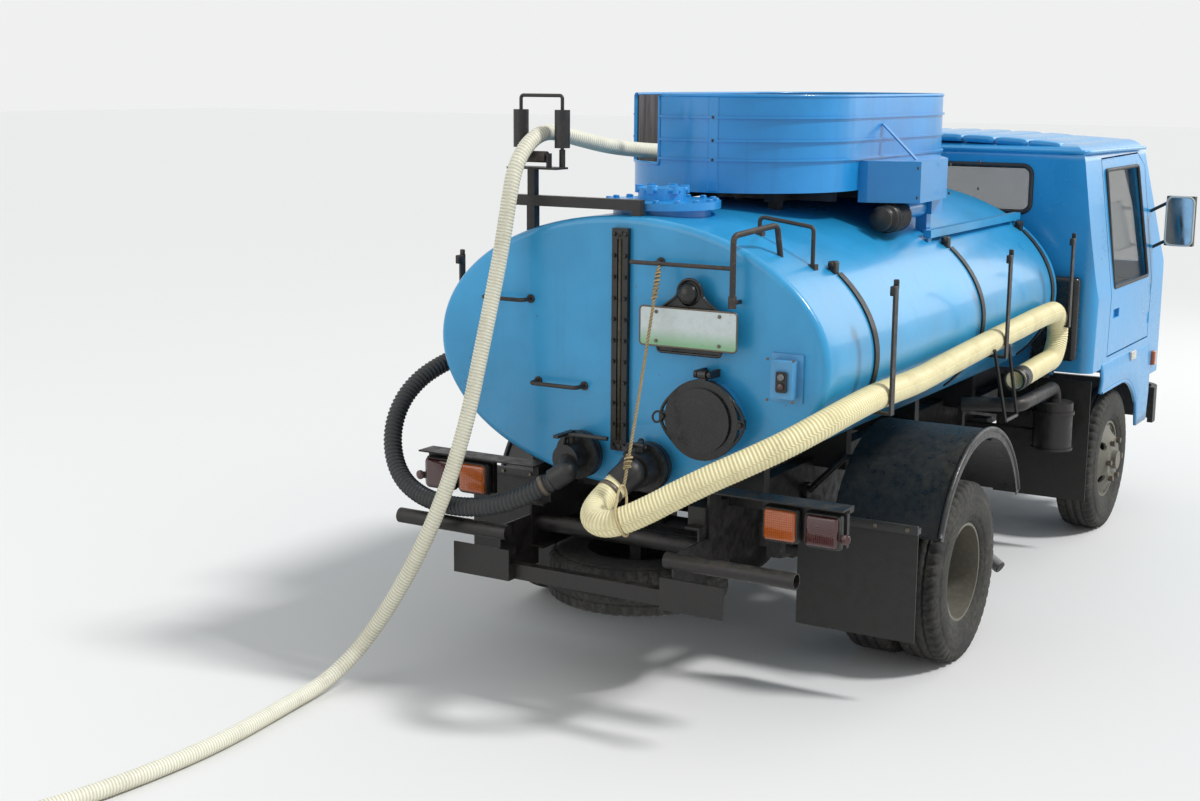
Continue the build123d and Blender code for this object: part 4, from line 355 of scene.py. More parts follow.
def between(tree, value, low, high, to_low=0.0, to_high=1.0):
    """A value's span stretched to another span, and held there."""
    spans = {"Value": value, "From Min": low, "From Max": high, "To Min": to_low, "To Max": to_high}
    return wire(tree, "ShaderNodeMapRange", spans).outputs["Result"]


def mixed(tree, share, first, second, blend="MIX"):
    """Two colours mixed by a share."""
    made = wire(tree, "ShaderNodeMix", data_type="RGBA", blend_type=blend)
    fill(tree, (made.inputs[0], made.inputs[6], made.inputs[7]), (share, first, second))
    return made.outputs[2]


def maths(tree, operation, first, second=0.0):
    """One step of arithmetic."""
    made = wire(tree, "ShaderNodeMath", operation=operation)
    fill(tree, made.inputs, (first, second))
    return made.outputs[0]


def relief(tree, shader, height, depth):
    """Tie a height to the shader's normal."""
    bump = wire(tree, "ShaderNodeBump", {"Height": height, "Strength": 1.0, "Distance": depth})
    tree.links.new(bump.outputs["Normal"], shader.inputs["Normal"])


def upward(tree):
    """How far a face looks up, from 0 to 1."""
    geometry = wire(tree, "ShaderNodeNewGeometry")
    parts = wire(tree, "ShaderNodeSeparateXYZ", {"Vector": geometry.outputs["Normal"]})
    return between(tree, parts.outputs["Z"], 0.2, 0.95)


def height_share(tree, low, high):
    """How low a point lies: 1 at the low height and 0 at the high one."""
    own = wire(tree, "ShaderNodeTexCoord")
    parts = wire(tree, "ShaderNodeSeparateXYZ", {"Vector": own.outputs["Object"]})
    return between(tree, parts.outputs["Z"], low, high, 1.0, 0.0)


DUST = linear((142, 128, 104))
RUST = linear((96, 54, 30))


def gloss_paint(name, colour, fade=0.10, rough=0.30, dust=0.25, streaks=0.35, dust_top=1.3):
    """Sprayed enamel: faded in patches, with run-down streaks, dust low down, small dark chips and a fine
    orange peel."""
    made, tree, shader = blank(name)
    base = linear(colour)
    pale = tinted(base, 1 + 1.4 * fade, 0.012)
    deep = tinted(base, 1 - 1.3 * fade)
    patch = speckle(tree, place(tree), 2.3, 5.0)
    shade = mixed(tree, between(tree, patch, 0.32, 0.68), deep, pale)
    run = speckle(tree, place(tree, (14, 14, 0.9)), 1.0, 6.0, 0.6)
    run_share = between(tree, run, 0.56, 0.74, 0.0, streaks)
    shade = mixed(tree, run_share, shade, tinted(base, 0.55))
    grit = speckle(tree, place(tree), 34.0, 6.0, 0.7)
    low_share = maths(tree, "MULTIPLY", height_share(tree, 0.55, dust_top), dust)
    dusty = maths(tree, "MULTIPLY", low_share, between(tree, grit, 0.35, 0.62))
    shade = mixed(tree, dusty, shade, DUST)
    chip = speckle(tree, place(tree), 90.0, 2.0, 0.4)
    shade = mixed(tree, between(tree, chip, 0.765, 0.785, 0.0, 0.7), shade, RUST)
    gleam = maths(tree, "ADD", between(tree, patch, 0.3, 0.7, rough, rough + 0.14), dusty)
    surface(tree, shader, shade, gleam)
    peel = speckle(tree, place(tree), 260.0, 2.0)
    dent = speckle(tree, place(tree), 4.2, 2.0)
    height = maths(tree, "ADD", maths(tree, "MULTIPLY", peel, 0.03), dent)
    relief(tree, shader, height, 0.0035)
    shader.inputs["Coat Weight"].default_value = 0.35
    shader.inputs["Coat Roughness"].default_value = 0.12
    return made


def grimy_black(name, colour=(14, 14, 16), rough=0.40, dust=0.09, rust=0.05):
    """Black chassis enamel under road dust: paler where it faces up and in blotches, with rust."""
    made, tree, shader = blank(name)
    grit = speckle(tree, place(tree), 26.0, 8.0, 0.7)
    blotch = speckle(tree, place(tree), 5.0, 4.0)
    lying = maths(tree, "MULTIPLY", upward(tree), dust)
    cover = maths(tree, "MULTIPLY", maths(tree, "ADD", lying, 0.04), between(tree, grit, 0.34, 0.64))
    shade = mixed(tree, cover, linear(colour), DUST)
    spots = between(tree, blotch, 0.60, 0.72)
    rusty = maths(tree, "MULTIPLY", spots, between(tree, grit, 0.45, 0.6, 0, rust))
    shade = mixed(tree, rusty, shade, RUST)
    surface(tree, shader, shade, between(tree, grit, 0.3, 0.7, rough - 0.1, rough + 0.25))
    relief(tree, shader, maths(tree, "ADD", grit, maths(tree, "MULTIPLY", blotch, 1.5)), 0.0016)
    return made


def tyre_rubber(name):
    """Worn tyre rubber: dark grey, dusty in its grooves, finely pitted."""
    made, tree, shader = blank(name)
    grit = speckle(tree, place(tree), 60.0, 7.0, 0.7)
    blotch = speckle(tree, place(tree), 7.0, 3.0)
    worn = between(tree, blotch, 0.3, 0.7, 0.1, 0.55)
    share = maths(tree, "MULTIPLY", between(tree, grit, 0.35, 0.65), worn)
    shade = mixed(tree, share, linear((27, 28, 28)), linear((96, 92, 82)))
    surface(tree, shader, shade, 0.82)
    relief(tree, shader, grit, 0.0008)
    return made


def ribbed_tube(name, colour, groove, pitch, depth, rough=0.5, dirt=0.3, dirt_colour=(120, 108, 80)):
    """A hose wall with one rib each pitch along its length, painted shade in the grooves between the ribs,
    and dirt.
    """
    made, tree, shader = blank(name)
    uv = wire(tree, "ShaderNodeUVMap", uv_map="along").outputs["UV"]
    parts = wire(tree, "ShaderNodeSeparateXYZ", {"Vector": uv})
    turn = maths(tree, "ADD", parts.outputs["X"], maths(tree, "MULTIPLY", parts.outputs["Y"], pitch))
    phase = maths(tree, "MULTIPLY", turn, 2 * math.pi / pitch)
    wave = maths(tree, "ADD", maths(tree, "MULTIPLY", maths(tree, "COSINE", phase), 0.5), 0.5)
    # painted shade: the groove colour darkens the hose between its ribs
    shade = mixed(tree, wave, linear(groove), linear(colour))
    grit = speckle(tree, place(tree), 9.0, 6.0, 0.65)
    fine = speckle(tree, place(tree), 70.0, 4.0, 0.65)
    patches = between(tree, grit, 0.46, 0.72, 0.0, dirt)
    soiled = maths(tree, "MULTIPLY", patches, between(tree, fine, 0.3, 0.6))
    shade = mixed(tree, soiled, shade, linear(dirt_colour))
    surface(tree, shader, shade, between(tree, grit, 0.3, 0.7, rough - 0.08, rough + 0.2))
    relief(tree, shader, maths(tree, "ADD", wave, maths(tree, "MULTIPLY", fine, 0.2)), depth)
    return made


def plain_cast(name, colour, rough=0.6, bump=0.0012, metal=0.0, dirt=0.35):
    """Rough metal or moulding, mottled and pitted, with dust in its hollows."""
    made, tree, shader = blank(name)
    grit = speckle(tree, place(tree), 48.0, 7.0, 0.65)
    blotch = speckle(tree, place(tree), 8.0, 4.0)
    base = linear(colour)
    pale = tinted(base, 1.35, 0.01)
    shade = mixed(tree, between(tree, blotch, 0.3, 0.7), base, pale)
    shade = mixed(tree, between(tree, grit, 0.52, 0.72, 0.0, dirt), shade, DUST)
    surface(tree, shader, shade, between(tree, grit, 0.3, 0.7, rough - 0.12, rough + 0.15))
    shader.inputs["Metallic"].default_value = metal
    relief(tree, shader, grit, bump)
    return made


def window_glass(name, tint=(40, 52, 50), show=0.30):
    """Tinted glass, seen through and glossy."""
    made, tree, shader = blank(name)
    smear = speckle(tree, place(tree), 6.0, 5.0)
    tree.links.new(between(tree, smear, 0.35, 0.75, 0.03, 0.12), shader.inputs["Roughness"])
    shader.inputs["Base Color"].default_value = linear(tint)
    shader.inputs["Alpha"].default_value = show
    shader.inputs["IOR"].default_value = 1.5
    shader.inputs["Specular IOR Level"].default_value = 0.9
    return made


def lens_plastic(name, colour, deep):
    """A moulded lamp lens with small square prisms."""
    made, tree, shader = blank(name)
    cells = wire(
        tree,
        "ShaderNodeTexVoronoi",
        {"Vector": place(tree), "Scale": 120.0, "Randomness": 0.0},
        distance="CHEBYCHEV",
    ).outputs["Distance"]
    grime = speckle(tree, place(tree), 22.0, 5.0)
    shade = mixed(tree, between(tree, cells, 0.1, 0.5), linear(colour), linear(deep))
    shade = mixed(tree, between(tree, grime, 0.55, 0.8, 0.0, 0.12), shade, DUST)
    surface(tree, shader, shade, between(tree, grime, 0.3, 0.7, 0.12, 0.3))
    shader.inputs["Coat Weight"].default_value = 0.8
    relief(tree, shader, cells, 0.0012)
    return made


def cloth(name, colour):
    """Woven seat cloth: two crossed waves of thread over a soft mottle."""
    made, tree, shader = blank(name)
    warp = wire(
        tree, "ShaderNodeTexWave", {"Vector": place(tree), "Scale": 180.0}, bands_direction="X"
    ).outputs["Fac"]
    weft = wire(
        tree, "ShaderNodeTexWave", {"Vector": place(tree), "Scale": 180.0}, bands_direction="Z"
    ).outputs["Fac"]
    weave = maths(tree, "MULTIPLY", warp, weft)
    mottle = speckle(tree, place(tree), 12.0)
    base = linear(colour)
    pale = tinted(base, 1.8, 0.01)
    shade = mixed(tree, between(tree, maths(tree, "ADD", weave, mottle), 0.5, 1.4), base, pale)
    surface(tree, shader, shade, 0.9)
    relief(tree, shader, weave, 0.0006)
    return made


def twisted_fibre(name, colour, deep):
    """Rope: three strands by the turn around, with painted shade in the valleys between them, and fine
    hairs.
    """
    made, tree, shader = blank(name)
    uv = wire(tree, "ShaderNodeUVMap", uv_map="along").outputs["UV"]
    parts = wire(tree, "ShaderNodeSeparateXYZ", {"Vector": uv})
    # painted shade: the deep colour darkens the valleys between the strands
    strand_valley_shade = maths(tree, "COSINE", maths(tree, "MULTIPLY", parts.outputs["Y"], 6 * math.pi))
    hair = speckle(tree, place(tree), 320.0, 5.0)
    share = maths(tree, "ADD", maths(tree, "MULTIPLY", strand_valley_shade, 0.35), hair)
    shade = mixed(tree, between(tree, share, 0.1, 0.9), linear(deep), linear(colour))
    surface(tree, shader, shade, 0.9)
    relief(tree, shader, hair, 0.0008)
    return made


def mirror_face(name):
    """A silvered face with a little haze."""
    made, tree, shader = blank(name)
    haze = speckle(tree, place(tree), 14.0, 4.0)
    tree.links.new(between(tree, haze, 0.3, 0.8, 0.03, 0.16), shader.inputs["Roughness"])
    shader.inputs["Base Color"].default_value = (0.72, 0.75, 0.76, 1.0)
    shader.inputs["Metallic"].default_value = 1.0
    return made


def shade_sheet(name):
    """Painted shade: a dark sheet with run-down streaks of grey over brown black, with rusty grit."""
    made, tree, shader = blank(name)
    run = speckle(tree, place(tree, (16, 16, 1.2)), 1.0, 6.0, 0.6)
    grit = speckle(tree, place(tree), 40.0, 6.0, 0.7)
    shade = mixed(tree, between(tree, run, 0.38, 0.66), linear((40, 38, 40)), linear((104, 98, 96)))
    shade = mixed(tree, between(tree, grit, 0.55, 0.75, 0.0, 0.5), shade, linear((60, 48, 40)))
    surface(tree, shader, shade, 0.75)
    relief(tree, shader, grit, 0.0015)
    return made


def plate_enamel(name):
    """A bare enamelled plate: pale above, faintly green below, with small scratches."""
    made, tree, shader = blank(name)
    scratch = speckle(tree, place(tree, (1, 40, 220)), 1.0, 5.0)
    mottle = speckle(tree, place(tree), 30.0, 4.0)
    shade = mixed(tree, height_share(tree, 1.415, 1.470), linear((198, 208, 208)), linear((132, 178, 138)))
    shade = mixed(tree, between(tree, scratch, 0.62, 0.72, 0.0, 0.35), shade, DUST)
    shade = mixed(tree, between(tree, mottle, 0.45, 0.75, 0.0, 0.2), shade, linear((150, 150, 140)))
    surface(tree, shader, shade, between(tree, mottle, 0.3, 0.7, 0.25, 0.45))
    relief(tree, shader, mottle, 0.0004)
    return made


tank_blue = gloss_paint("tank_blue", (30, 144, 196), fade=0.10, rough=0.26, dust=0.22, streaks=0.20)
basin_blue = gloss_paint("basin_blue", (12, 136, 202), fade=0.10, rough=0.30, dust=0.0, streaks=0.26)
cab_blue = gloss_paint("cab_blue", (34, 146, 206), fade=0.06, rough=0.22, dust=0.25, streaks=0.10)
frame_black = grimy_black("frame_black")
guard_black = grimy_black("guard_black", (22, 25, 27), rough=0.30, dust=0.06, rust=0.0)
gauge_black = grimy_black("gauge_black", (12, 12, 14), rough=0.38, dust=0.04, rust=0.03)
flap_rubber = grimy_black("flap_rubber", (17, 21, 19), rough=0.45, dust=0.10, rust=0.0)
tread_rubber = tyre_rubber("tread_rubber")
rim_grey = plain_cast("rim_grey", (92, 90, 80), rough=0.5, metal=0.0, dirt=0.40)
cast_grey = plain_cast("cast_grey", (24, 24, 24), rough=0.55, dirt=0.18)
iron_black = plain_cast("iron_black", (15, 15, 16), rough=0.42, dirt=0.10)
zinc_bolt = plain_cast("zinc_bolt", (92, 84, 74), rough=0.45, metal=0.6, dirt=0.3)
black_mould = plain_cast("black_mould", (28, 29, 30), rough=0.5, bump=0.0004, dirt=0.2)
grey_mould = plain_cast("grey_mould", (96, 99, 102), rough=0.5, bump=0.0004, dirt=0.3)
seat_cloth = cloth("seat_cloth", (44, 46, 52))
clear_glass = window_glass("clear_glass")
amber_lens = lens_plastic("amber_lens", (206, 104, 10), (150, 62, 2))
red_lens = lens_plastic("red_lens", (88, 12, 11), (44, 5, 6))
# each ribbed hose's second colour is painted shade between its ribs
white_rib = ribbed_tube("white_rib", (238, 237, 224), (202, 196, 168), 0.0125, 0.0022, 0.42, 0.30)
black_rib = ribbed_tube("black_rib", (58, 60, 62), (20, 21, 22), 0.0180, 0.0010, 0.45, 0.25, (92, 90, 82))
cream_rib = ribbed_tube(
    "cream_rib", (240, 232, 192), (218, 204, 150), 0.0140, 0.0016, 0.42, 0.35, (140, 118, 74)
)
# the rope's deep colour is painted shade between its strands
rope_fibre = twisted_fibre("rope_fibre", (186, 168, 128), (92, 78, 54))
silvered = mirror_face("silvered")
intake_black = plain_cast("intake_black", (8, 9, 10), rough=0.26, bump=0.00012, dirt=0.05)
rusty_iron = plain_cast("rusty_iron", (44, 38, 35), rough=0.55, metal=0.2, dirt=0.25)
sight_olive = plain_cast("sight_olive", (50, 44, 28), rough=0.30, bump=0.0003, dirt=0.15)
tail_grey = plain_cast("tail_grey", (150, 152, 148), rough=0.5, dirt=0.25)
mirror_shell = plain_cast("mirror_shell", (176, 186, 188), rough=0.40, bump=0.0003, dirt=0.15)
switch_blue = plain_cast("switch_blue", (74, 140, 184), rough=0.45, bump=0.0006, dirt=0.20)
# painted shade: the dark sheet inside the basin stands in for the shade there
painted_shade_grey = shade_sheet("painted_shade_grey")
plate_face = plate_enamel("plate_face")
pale_lens = lens_plastic("pale_lens", (214, 216, 208), (120, 120, 116))

NODE_FINISH = {
    "tank_shell": tank_blue, "hose_basin": basin_blue, "drive_box": basin_blue,
    "guide_roller_left": iron_black, "guide_roller_right": iron_black,
    "guide_roller_low": rusty_iron, "side_rails": tank_blue, "manhole": basin_blue,
    "cab_shell": cab_blue, "door_left": cab_blue, "door_right": cab_blue,
    "cab_front": black_mould, "mirrors": black_mould, "air_intake": intake_black,
    "cab_glass": clear_glass, "door_glass_left": clear_glass, "door_glass_right": clear_glass,
    "cab_interior": seat_cloth, "front_bumper": black_mould, "switch_box": switch_blue,
    "mudguards": guard_black, "mudflaps": flap_rubber, "level_gauge": gauge_black,
    "hatch_lid": intake_black, "hatch_hinge": gauge_black, "plate_bracket": gauge_black,
    "head_rails": rusty_iron, "straps_and_posts": gauge_black, "roller_guide": frame_black,
    "discharge_valves": iron_black, "engine_block": cast_grey, "rear_axle": cast_grey,
    "front_axle": cast_grey, "knuckle_left": cast_grey, "knuckle_right": cast_grey,
    "exhaust": cast_grey, "front_rim_left": rim_grey, "front_rim_right": rim_grey,
    "rear_rims_left": rim_grey, "rear_rims_right": rim_grey, "tail_lamps": amber_lens,
    "spare_wheel": tread_rubber,
    "front_tyre_left": tread_rubber, "front_tyre_right": tread_rubber,
    "rear_tyres_left": tread_rubber, "rear_tyres_right": tread_rubber,
}
for name, node in nodes.items():
    node.data.materials.clear()
    node.data.materials.append(NODE_FINISH.get(name, frame_black))


# Camera, where the photograph was taken from
CAMERA_AT = (-7.612, -3.192, 2.366)
CAMERA_YAW = 0.540          # from straight ahead towards the truck's left
CAMERA_DROP = 0.187         # below the horizon
CAMERA_ROLL = 0.007
PHOTO_WIDTH = 1200
FOCAL_PIXELS = 1697.1


def photo_camera():
    """The camera's axes from its yaw, drop and roll: forward f, right r = f x up, turned by the roll."""
    cos_drop = math.cos(CAMERA_DROP)
    forward = Vector(
        (math.cos(CAMERA_YAW) * cos_drop, math.sin(CAMERA_YAW) * cos_drop, -math.sin(CAMERA_DROP))
    )
    right = forward.cross(Vector((0, 0, 1))).normalized()
    up = right.cross(forward)
    across = right * math.cos(CAMERA_ROLL) + up * math.sin(CAMERA_ROLL)
    above = up * math.cos(CAMERA_ROLL) - right * math.sin(CAMERA_ROLL)
    data = bpy.data.cameras.new("photo_camera")
    data.sensor_width = 36.0
    data.lens = FOCAL_PIXELS / PHOTO_WIDTH * data.sensor_width
    camera = bpy.data.objects.new("photo_camera", data)
    bpy.context.scene.collection.objects.link(camera)
    camera.matrix_world = Matrix.Translation(CAMERA_AT) @ Matrix(
        (across, above, -forward)
    ).transposed().to_4x4()
    bpy.context.scene.camera = camera


photo_camera()


# Hoses and rope: the same routes as the solids, from the rear head, in metres
def spline_points(name, route, resolution=14):
    """Points read from a smooth curve whose control points are the route."""
    curve = bpy.data.curves.new(name, "CURVE")
    curve.dimensions = "3D"
    line = curve.splines.new("NURBS")
    line.points.add(len(route) - 1)
    for point, (x, y, z) in zip(line.points, route):
        point.co = (HEAD_X + x, y, z, 1.0)
    line.order_u = 3
    line.use_endpoint_u = True
    line.resolution_u = resolution
    holder = bpy.data.objects.new(name, curve)
    bpy.context.scene.collection.objects.link(holder)
    bpy.context.view_layer.update()
    mesh = bpy.data.meshes.new_from_object(holder)
    points = np.empty(len(mesh.vertices) * 3)
    mesh.vertices.foreach_get("co", points)
    bpy.data.objects.remove(holder)
    return points.reshape(-1, 3)


def even(points, step):
    """The same line with points one step apart."""
    run = run_along(points)
    count = max(8, int(round(run[-1] / step)))
    at = np.linspace(0, run[-1], count + 1)
    return np.stack([np.interp(at, run, points[:, k]) for k in range(3)], axis=1), run[-1]


def hose_end(name, line, radius, flip, body, material):
    """A hose coupling on a line's end: a cuff over the hose, a collar, and a grooved open mouth,
    as a profile carried round the end's direction."""
    tip = line[-1] if flip else line[0]
    inner = line[-12] if flip else line[11]
    way = (tip - inner) / np.linalg.norm(tip - inner)
    r = radius
    profile = (
        (-0.070, r * 0.90), (-0.070, r + 0.001), (-0.012, r + 0.002), (-0.010, r + 0.004),
        (0.004, r + 0.004), (0.006, r + 0.001), (0.016, r + 0.001), (0.018, r - 0.004),
        (0.028, r - 0.004), (0.030, r + 0.002), (0.044, r + 0.001), (0.046, r - 0.003),
        (0.046, r - 0.008), (0.010, r - 0.008), (0.008, 0.0),
    )
    return turned(name, profile, tip - way * 0.030, way, 40, body, material)


def hose(name, route, radius, material, pitch, rib, slices, around, replaced, ends):
    """A tube whose radius is r - rib * (1 - cos(2 pi s / pitch)) / 2, for s along its line, with a
    coupling on each end that isn't in the object."""
    line, length = even(spline_points(name + "_line", route), pitch / slices)
    run = np.linspace(0, length, len(line))
    wave = radius - rib * (1 - np.cos(2 * math.pi * run / pitch)) / 2
    piece = closed_tube(name, line, wave[:, None], around, "chassis", material)
    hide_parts(*replaced)
    fittings = [
        hose_end(f"{name}_end_{count}", line, radius, count, "chassis", iron_black) for count in ends
    ]
    return line


COIL_TURNS = ((0.312, 1.9625), (0.378, 1.9625), (0.346, 2.0170))
COIL_AROUND = 20


def coil_route():
    """The hose's turns in the basin: on an oval of two half rings joined by straights, its radius
    and height eased from one turn's to the next."""
    points = []
    straight = 2 * BASIN_HALF
    for turn, (radius, height) in enumerate(COIL_TURNS):
        before, low = COIL_TURNS[max(turn - 1, 0)]
        for step in range(COIL_AROUND):
            share = step / COIL_AROUND
            ease = min(1.0, 4 * share)
            r = before + (radius - before) * ease
            z = low + (height - low) * ease
            half_ring = math.pi * r
            run = share * (2 * half_ring + 2 * straight) + straight / 2
            run %= 2 * half_ring + 2 * straight
            if run < straight:
                x, y = BASIN_HALF - run, r
            elif run < straight + half_ring:
                angle = math.pi / 2 + (run - straight) / r
                x, y = -BASIN_HALF + r * math.cos(angle), r * math.sin(angle)
            elif run < 2 * straight + half_ring:
                x, y = -BASIN_HALF + run - straight - half_ring, -r
            else:
                angle = -math.pi / 2 + (run - 2 * straight - half_ring) / r
                x, y = BASIN_HALF + r * math.cos(angle), r * math.sin(angle)
            points.append((BASIN_X - HEAD_X + x, y, z))
    return tuple(points[:-1])


WHITE_RUN = (
    (1.780, 0.348, 2.020), (1.560, 0.350, 2.036),
    (1.330, 0.352, 2.056), (1.120, 0.350, 2.062), (0.900, 0.347, 2.068), (0.700, 0.348, 2.080),
    (0.500, 0.366, 2.100), (0.320, 0.394, 2.134), (0.160, 0.420, 2.168), (0.065, 0.428, 2.152),
    (-0.015, 0.436, 2.100), (-0.069, 0.444, 2.020), (-0.096, 0.450, 1.900), (-0.122, 0.464, 1.730),
    (-0.155, 0.482, 1.560), (-0.210, 0.500, 1.340), (-0.262, 0.525, 1.100), (-0.322, 0.568, 0.860),
    (-0.378, 0.634, 0.640), (-0.415, 0.735, 0.430), (-0.440, 0.850, 0.245), (-0.500, 0.930, 0.115),
    (-0.640, 0.965, 0.042), (-0.840, 0.950, 0.036), (-1.060, 0.925, 0.033), (-1.300, 0.905, 0.033),
    (-1.560, 0.915, 0.033), (-1.830, 0.950, 0.034), (-2.080, 1.010, 0.037), (-2.300, 1.080, 0.040),
)
BLACK_ROUTE = (
    (-0.225, 0.165, 0.878), (-0.247, 0.240, 0.826), (-0.264, 0.330, 0.782), (-0.272, 0.435, 0.748),
    (-0.272, 0.550, 0.731), (-0.266, 0.665, 0.730), (-0.248, 0.778, 0.746), (-0.220, 0.882, 0.790),
    (-0.178, 0.958, 0.866), (-0.122, 1.004, 0.966), (-0.048, 1.014, 1.066), (0.044, 0.994, 1.146),
    (0.152, 0.954, 1.200), (0.276, 0.917, 1.230), (0.420, 0.904, 1.240), (0.620, 0.906, 1.232),
    (0.880, 0.907, 1.226), (1.200, 0.905, 1.232), (1.520, 0.907, 1.242), (1.840, 0.905, 1.248),
    (2.160, 0.907, 1.254), (2.450, 0.905, 1.262), (2.720, 0.905, 1.268),
)
CREAM_ROUTE = (
    (-0.230, -0.123, 0.902), (-0.294, -0.098, 0.860), (-0.376, -0.104, 0.824),
    (-0.436, -0.152, 0.808), (-0.454, -0.228, 0.813), (-0.420, -0.322, 0.856),
    (-0.372, -0.440, 0.930), (-0.325, -0.552, 0.996), (-0.262, -0.672, 1.060),
    (-0.175, -0.780, 1.122), (-0.070, -0.862, 1.180),
    (0.075, -0.903, 1.215), (0.260, -0.908, 1.227), (0.470, -0.905, 1.224),
    (0.740, -0.907, 1.222), (1.060, -0.905, 1.238), (1.380, -0.907, 1.254),
    (1.700, -0.905, 1.266), (2.010, -0.907, 1.277), (2.250, -0.905, 1.286),
    (2.454, -0.906, 1.290), (2.590, -0.905, 1.288), (2.658, -0.904, 1.171),
    (2.590, -0.903, 1.054), (2.455, -0.902, 1.053), (2.240, -0.903, 1.044),
    (2.010, -0.902, 1.036),
)
ROPE_ROUTE = (
    (-0.070, -0.196, 1.699), (-0.150, -0.197, 1.440), (-0.238, -0.199, 1.160),
    (-0.345, -0.215, 0.930),
)
hose(
    "white_hose_ribbed", coil_route() + WHITE_RUN, 0.0315, white_rib, 0.0125, 0.0022, 4, 16,
    ("white_hose", "hose_coil"), (0, 1),
)
black_line = hose(
    "black_hose_ribbed", BLACK_ROUTE, 0.038, black_rib, 0.018, 0.0065, 6, 28,
    ("black_hose",), (1,),
)
cream_line = hose(
    "cream_hose_ribbed", CREAM_ROUTE, 0.050, cream_rib, 0.014, 0.0018, 5, 32,
    ("cream_hose",), (1,),
)


SLING_Y = 0.262             # how far right of the middle the sling goes round the hose
SLING_R = 0.0555


def coil_round(line, start, end, turns, lift):
    """A line that winds round part of another: centre + lift (cos a * n + sin a * b)."""
    tangent, normal, binormal = frames_along(line)
    index = np.linspace(start * (len(line) - 1), end * (len(line) - 1), int(turns * 16)).astype(int)
    angle = np.linspace(0, 2 * math.pi * turns, len(index))
    at = np.linspace(start, end, len(index))
    share = np.linspace(0, 1, len(line))
    spot = np.array([np.interp(at, share, line[:, k]) for k in range(3)]).T
    around = np.cos(angle)[:, None] * normal[index] + np.sin(angle)[:, None] * binormal[index]
    return spot + lift * around


def rope_ties(line):
    """The winding under the bar, the knot, and the sling from the rope's end round the hose: a ring
    about the hose's line, drawn up to the rope's end over a narrow part of the turn."""
    winding = coil_round(line, 0.02, 0.15, 7.0, 0.008)
    closed_tube("rope_winding", winding, 0.0045, 8, "chassis", rope_fibre)
    knot = coil_round(line, 0.86, 0.92, 3.0, 0.010)
    knot_piece = closed_tube("rope_knot", knot, 0.0060, 8, "chassis", rope_fibre)
    fold = cream_line[:260]
    rear_only = np.where(fold[:, 0] > HEAD_X - 0.40, 1.0, 0.0)
    nearest = int(np.argmin(np.abs(fold[:, 1] + SLING_Y) + rear_only))
    centre = cream_line[nearest]
    way = cream_line[nearest + 3] - cream_line[nearest - 3]
    way /= np.linalg.norm(way)
    end = line[-1] - centre
    up = end - way * (end @ way)
    reach = np.linalg.norm(up)
    up /= reach
    side = np.cross(way, up)
    angle = np.linspace(0, 2 * math.pi, 48, endpoint=False)
    pull = np.clip(np.cos(angle), 0, 1) ** 10
    radius = SLING_R + (reach - SLING_R) * pull
    drift = (end @ way) * pull
    ring = (
        centre
        + (radius * np.cos(angle))[:, None] * up
        + (radius * np.sin(angle))[:, None] * side
        + drift[:, None] * way
    )
    loop_tube("rope_sling", ring, 0.0050, 8, "chassis", rope_fibre)
    return knot_piece


def twisted_rope():
    """Three strands: the radius is r (0.80 + 0.20 |cos(1.5 a)|) and the section turns along the line."""
    line, length = even(spline_points("rope_line", ROPE_ROUTE), 0.003)
    around = 18
    angle = np.linspace(0, 2 * math.pi, around, endpoint=False)
    radius = 0.006 * (0.80 + 0.20 * np.abs(np.cos(1.5 * angle)))
    piece = closed_tube("rope_strands", line, radius[None, :], around, "chassis", rope_fibre, 160.0)
    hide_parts("rope")
    knot = rope_ties(line)


twisted_rope()


# Wheels
TREAD_BLOCKS = 50
TREAD_STEPS = 6
TYRE_SIDE = (
    (0.0800, 0.2050, 0.0), (0.0860, 0.2150, 0.0), (0.0925, 0.2270, 0.0), (0.0940, 0.2330, 0.0),
    (0.0965, 0.2350, 0.0), (0.0990, 0.2520, 0.0), (0.1018, 0.2720, 0.0), (0.1025, 0.2900, 0.0),
    (0.1018, 0.3060, 0.0), (0.1000, 0.3230, 0.0), (0.0980, 0.3250, 0.0), (0.0970, 0.3350, 0.2),
    (0.0950, 0.3460, 0.6), (0.0920, 0.3570, 1.0), (0.0880, 0.3660, 1.0), (0.0820, 0.3725, 1.0),
    (0.0730, 0.3755, 1.0), (0.0600, 0.3766, 1.0), (0.0500, 0.3770, 0.4), (0.0460, 0.3770, 0.0),
    (0.0448, 0.3670, 0.0), (0.0380, 0.3670, 0.0), (0.0368, 0.3770, 0.0), (0.0200, 0.3770, 0.0),
    (0.0070, 0.3770, 0.0), (0.0058, 0.3670, 0.0),
)


def treads(name, centres, across, body, rows, size=1.0, depth=0.009):
    """Tyres in one mesh: a section of (width w, radius r) carried round. Each block is cut by a
    cross groove over two of its six steps, and the rows near the middle weave by a triangle wave."""
    side = np.asarray(rows, float)
    section = np.concatenate([side, side[::-1] * (-1, 1, 1)])
    columns = TREAD_BLOCKS * TREAD_STEPS
    step = np.arange(columns)
    phase = step % TREAD_STEPS
    shift = np.where(section[:, 0] < 0, TREAD_STEPS // 2, 0)[:, None]
    cut = ((step[None, :] + shift) % TREAD_STEPS < 2) * section[:, 2:3] * depth
    weave = 0.0035 * (np.abs(phase - TREAD_STEPS / 2) / (TREAD_STEPS / 2) - 0.5)
    near = np.where(np.abs(section[:, 0:1]) < 0.048, 1.0, 0.0)
    width = (section[:, 0:1] + near * weave[None, :]) * size
    radius = (section[:, 1:2] - cut) * size
    angle = step * 2 * math.pi / columns
    across = np.asarray(across, float)
    first = np.array((1.0, 0.0, 0.0))
    second = np.cross(across, first)
    one = (
        width[..., None] * across
        + (radius * np.cos(angle))[..., None] * first
        + (radius * np.sin(angle))[..., None] * second
    )
    points = np.concatenate([(one + np.asarray(c, float)).reshape(-1, 3) for c in centres])
    faces = []
    for count in range(len(centres)):
        faces += grid_faces(len(section), columns, True, True, count * len(section) * columns)
    return closed_piece(name, points, faces, body, tread_rubber)


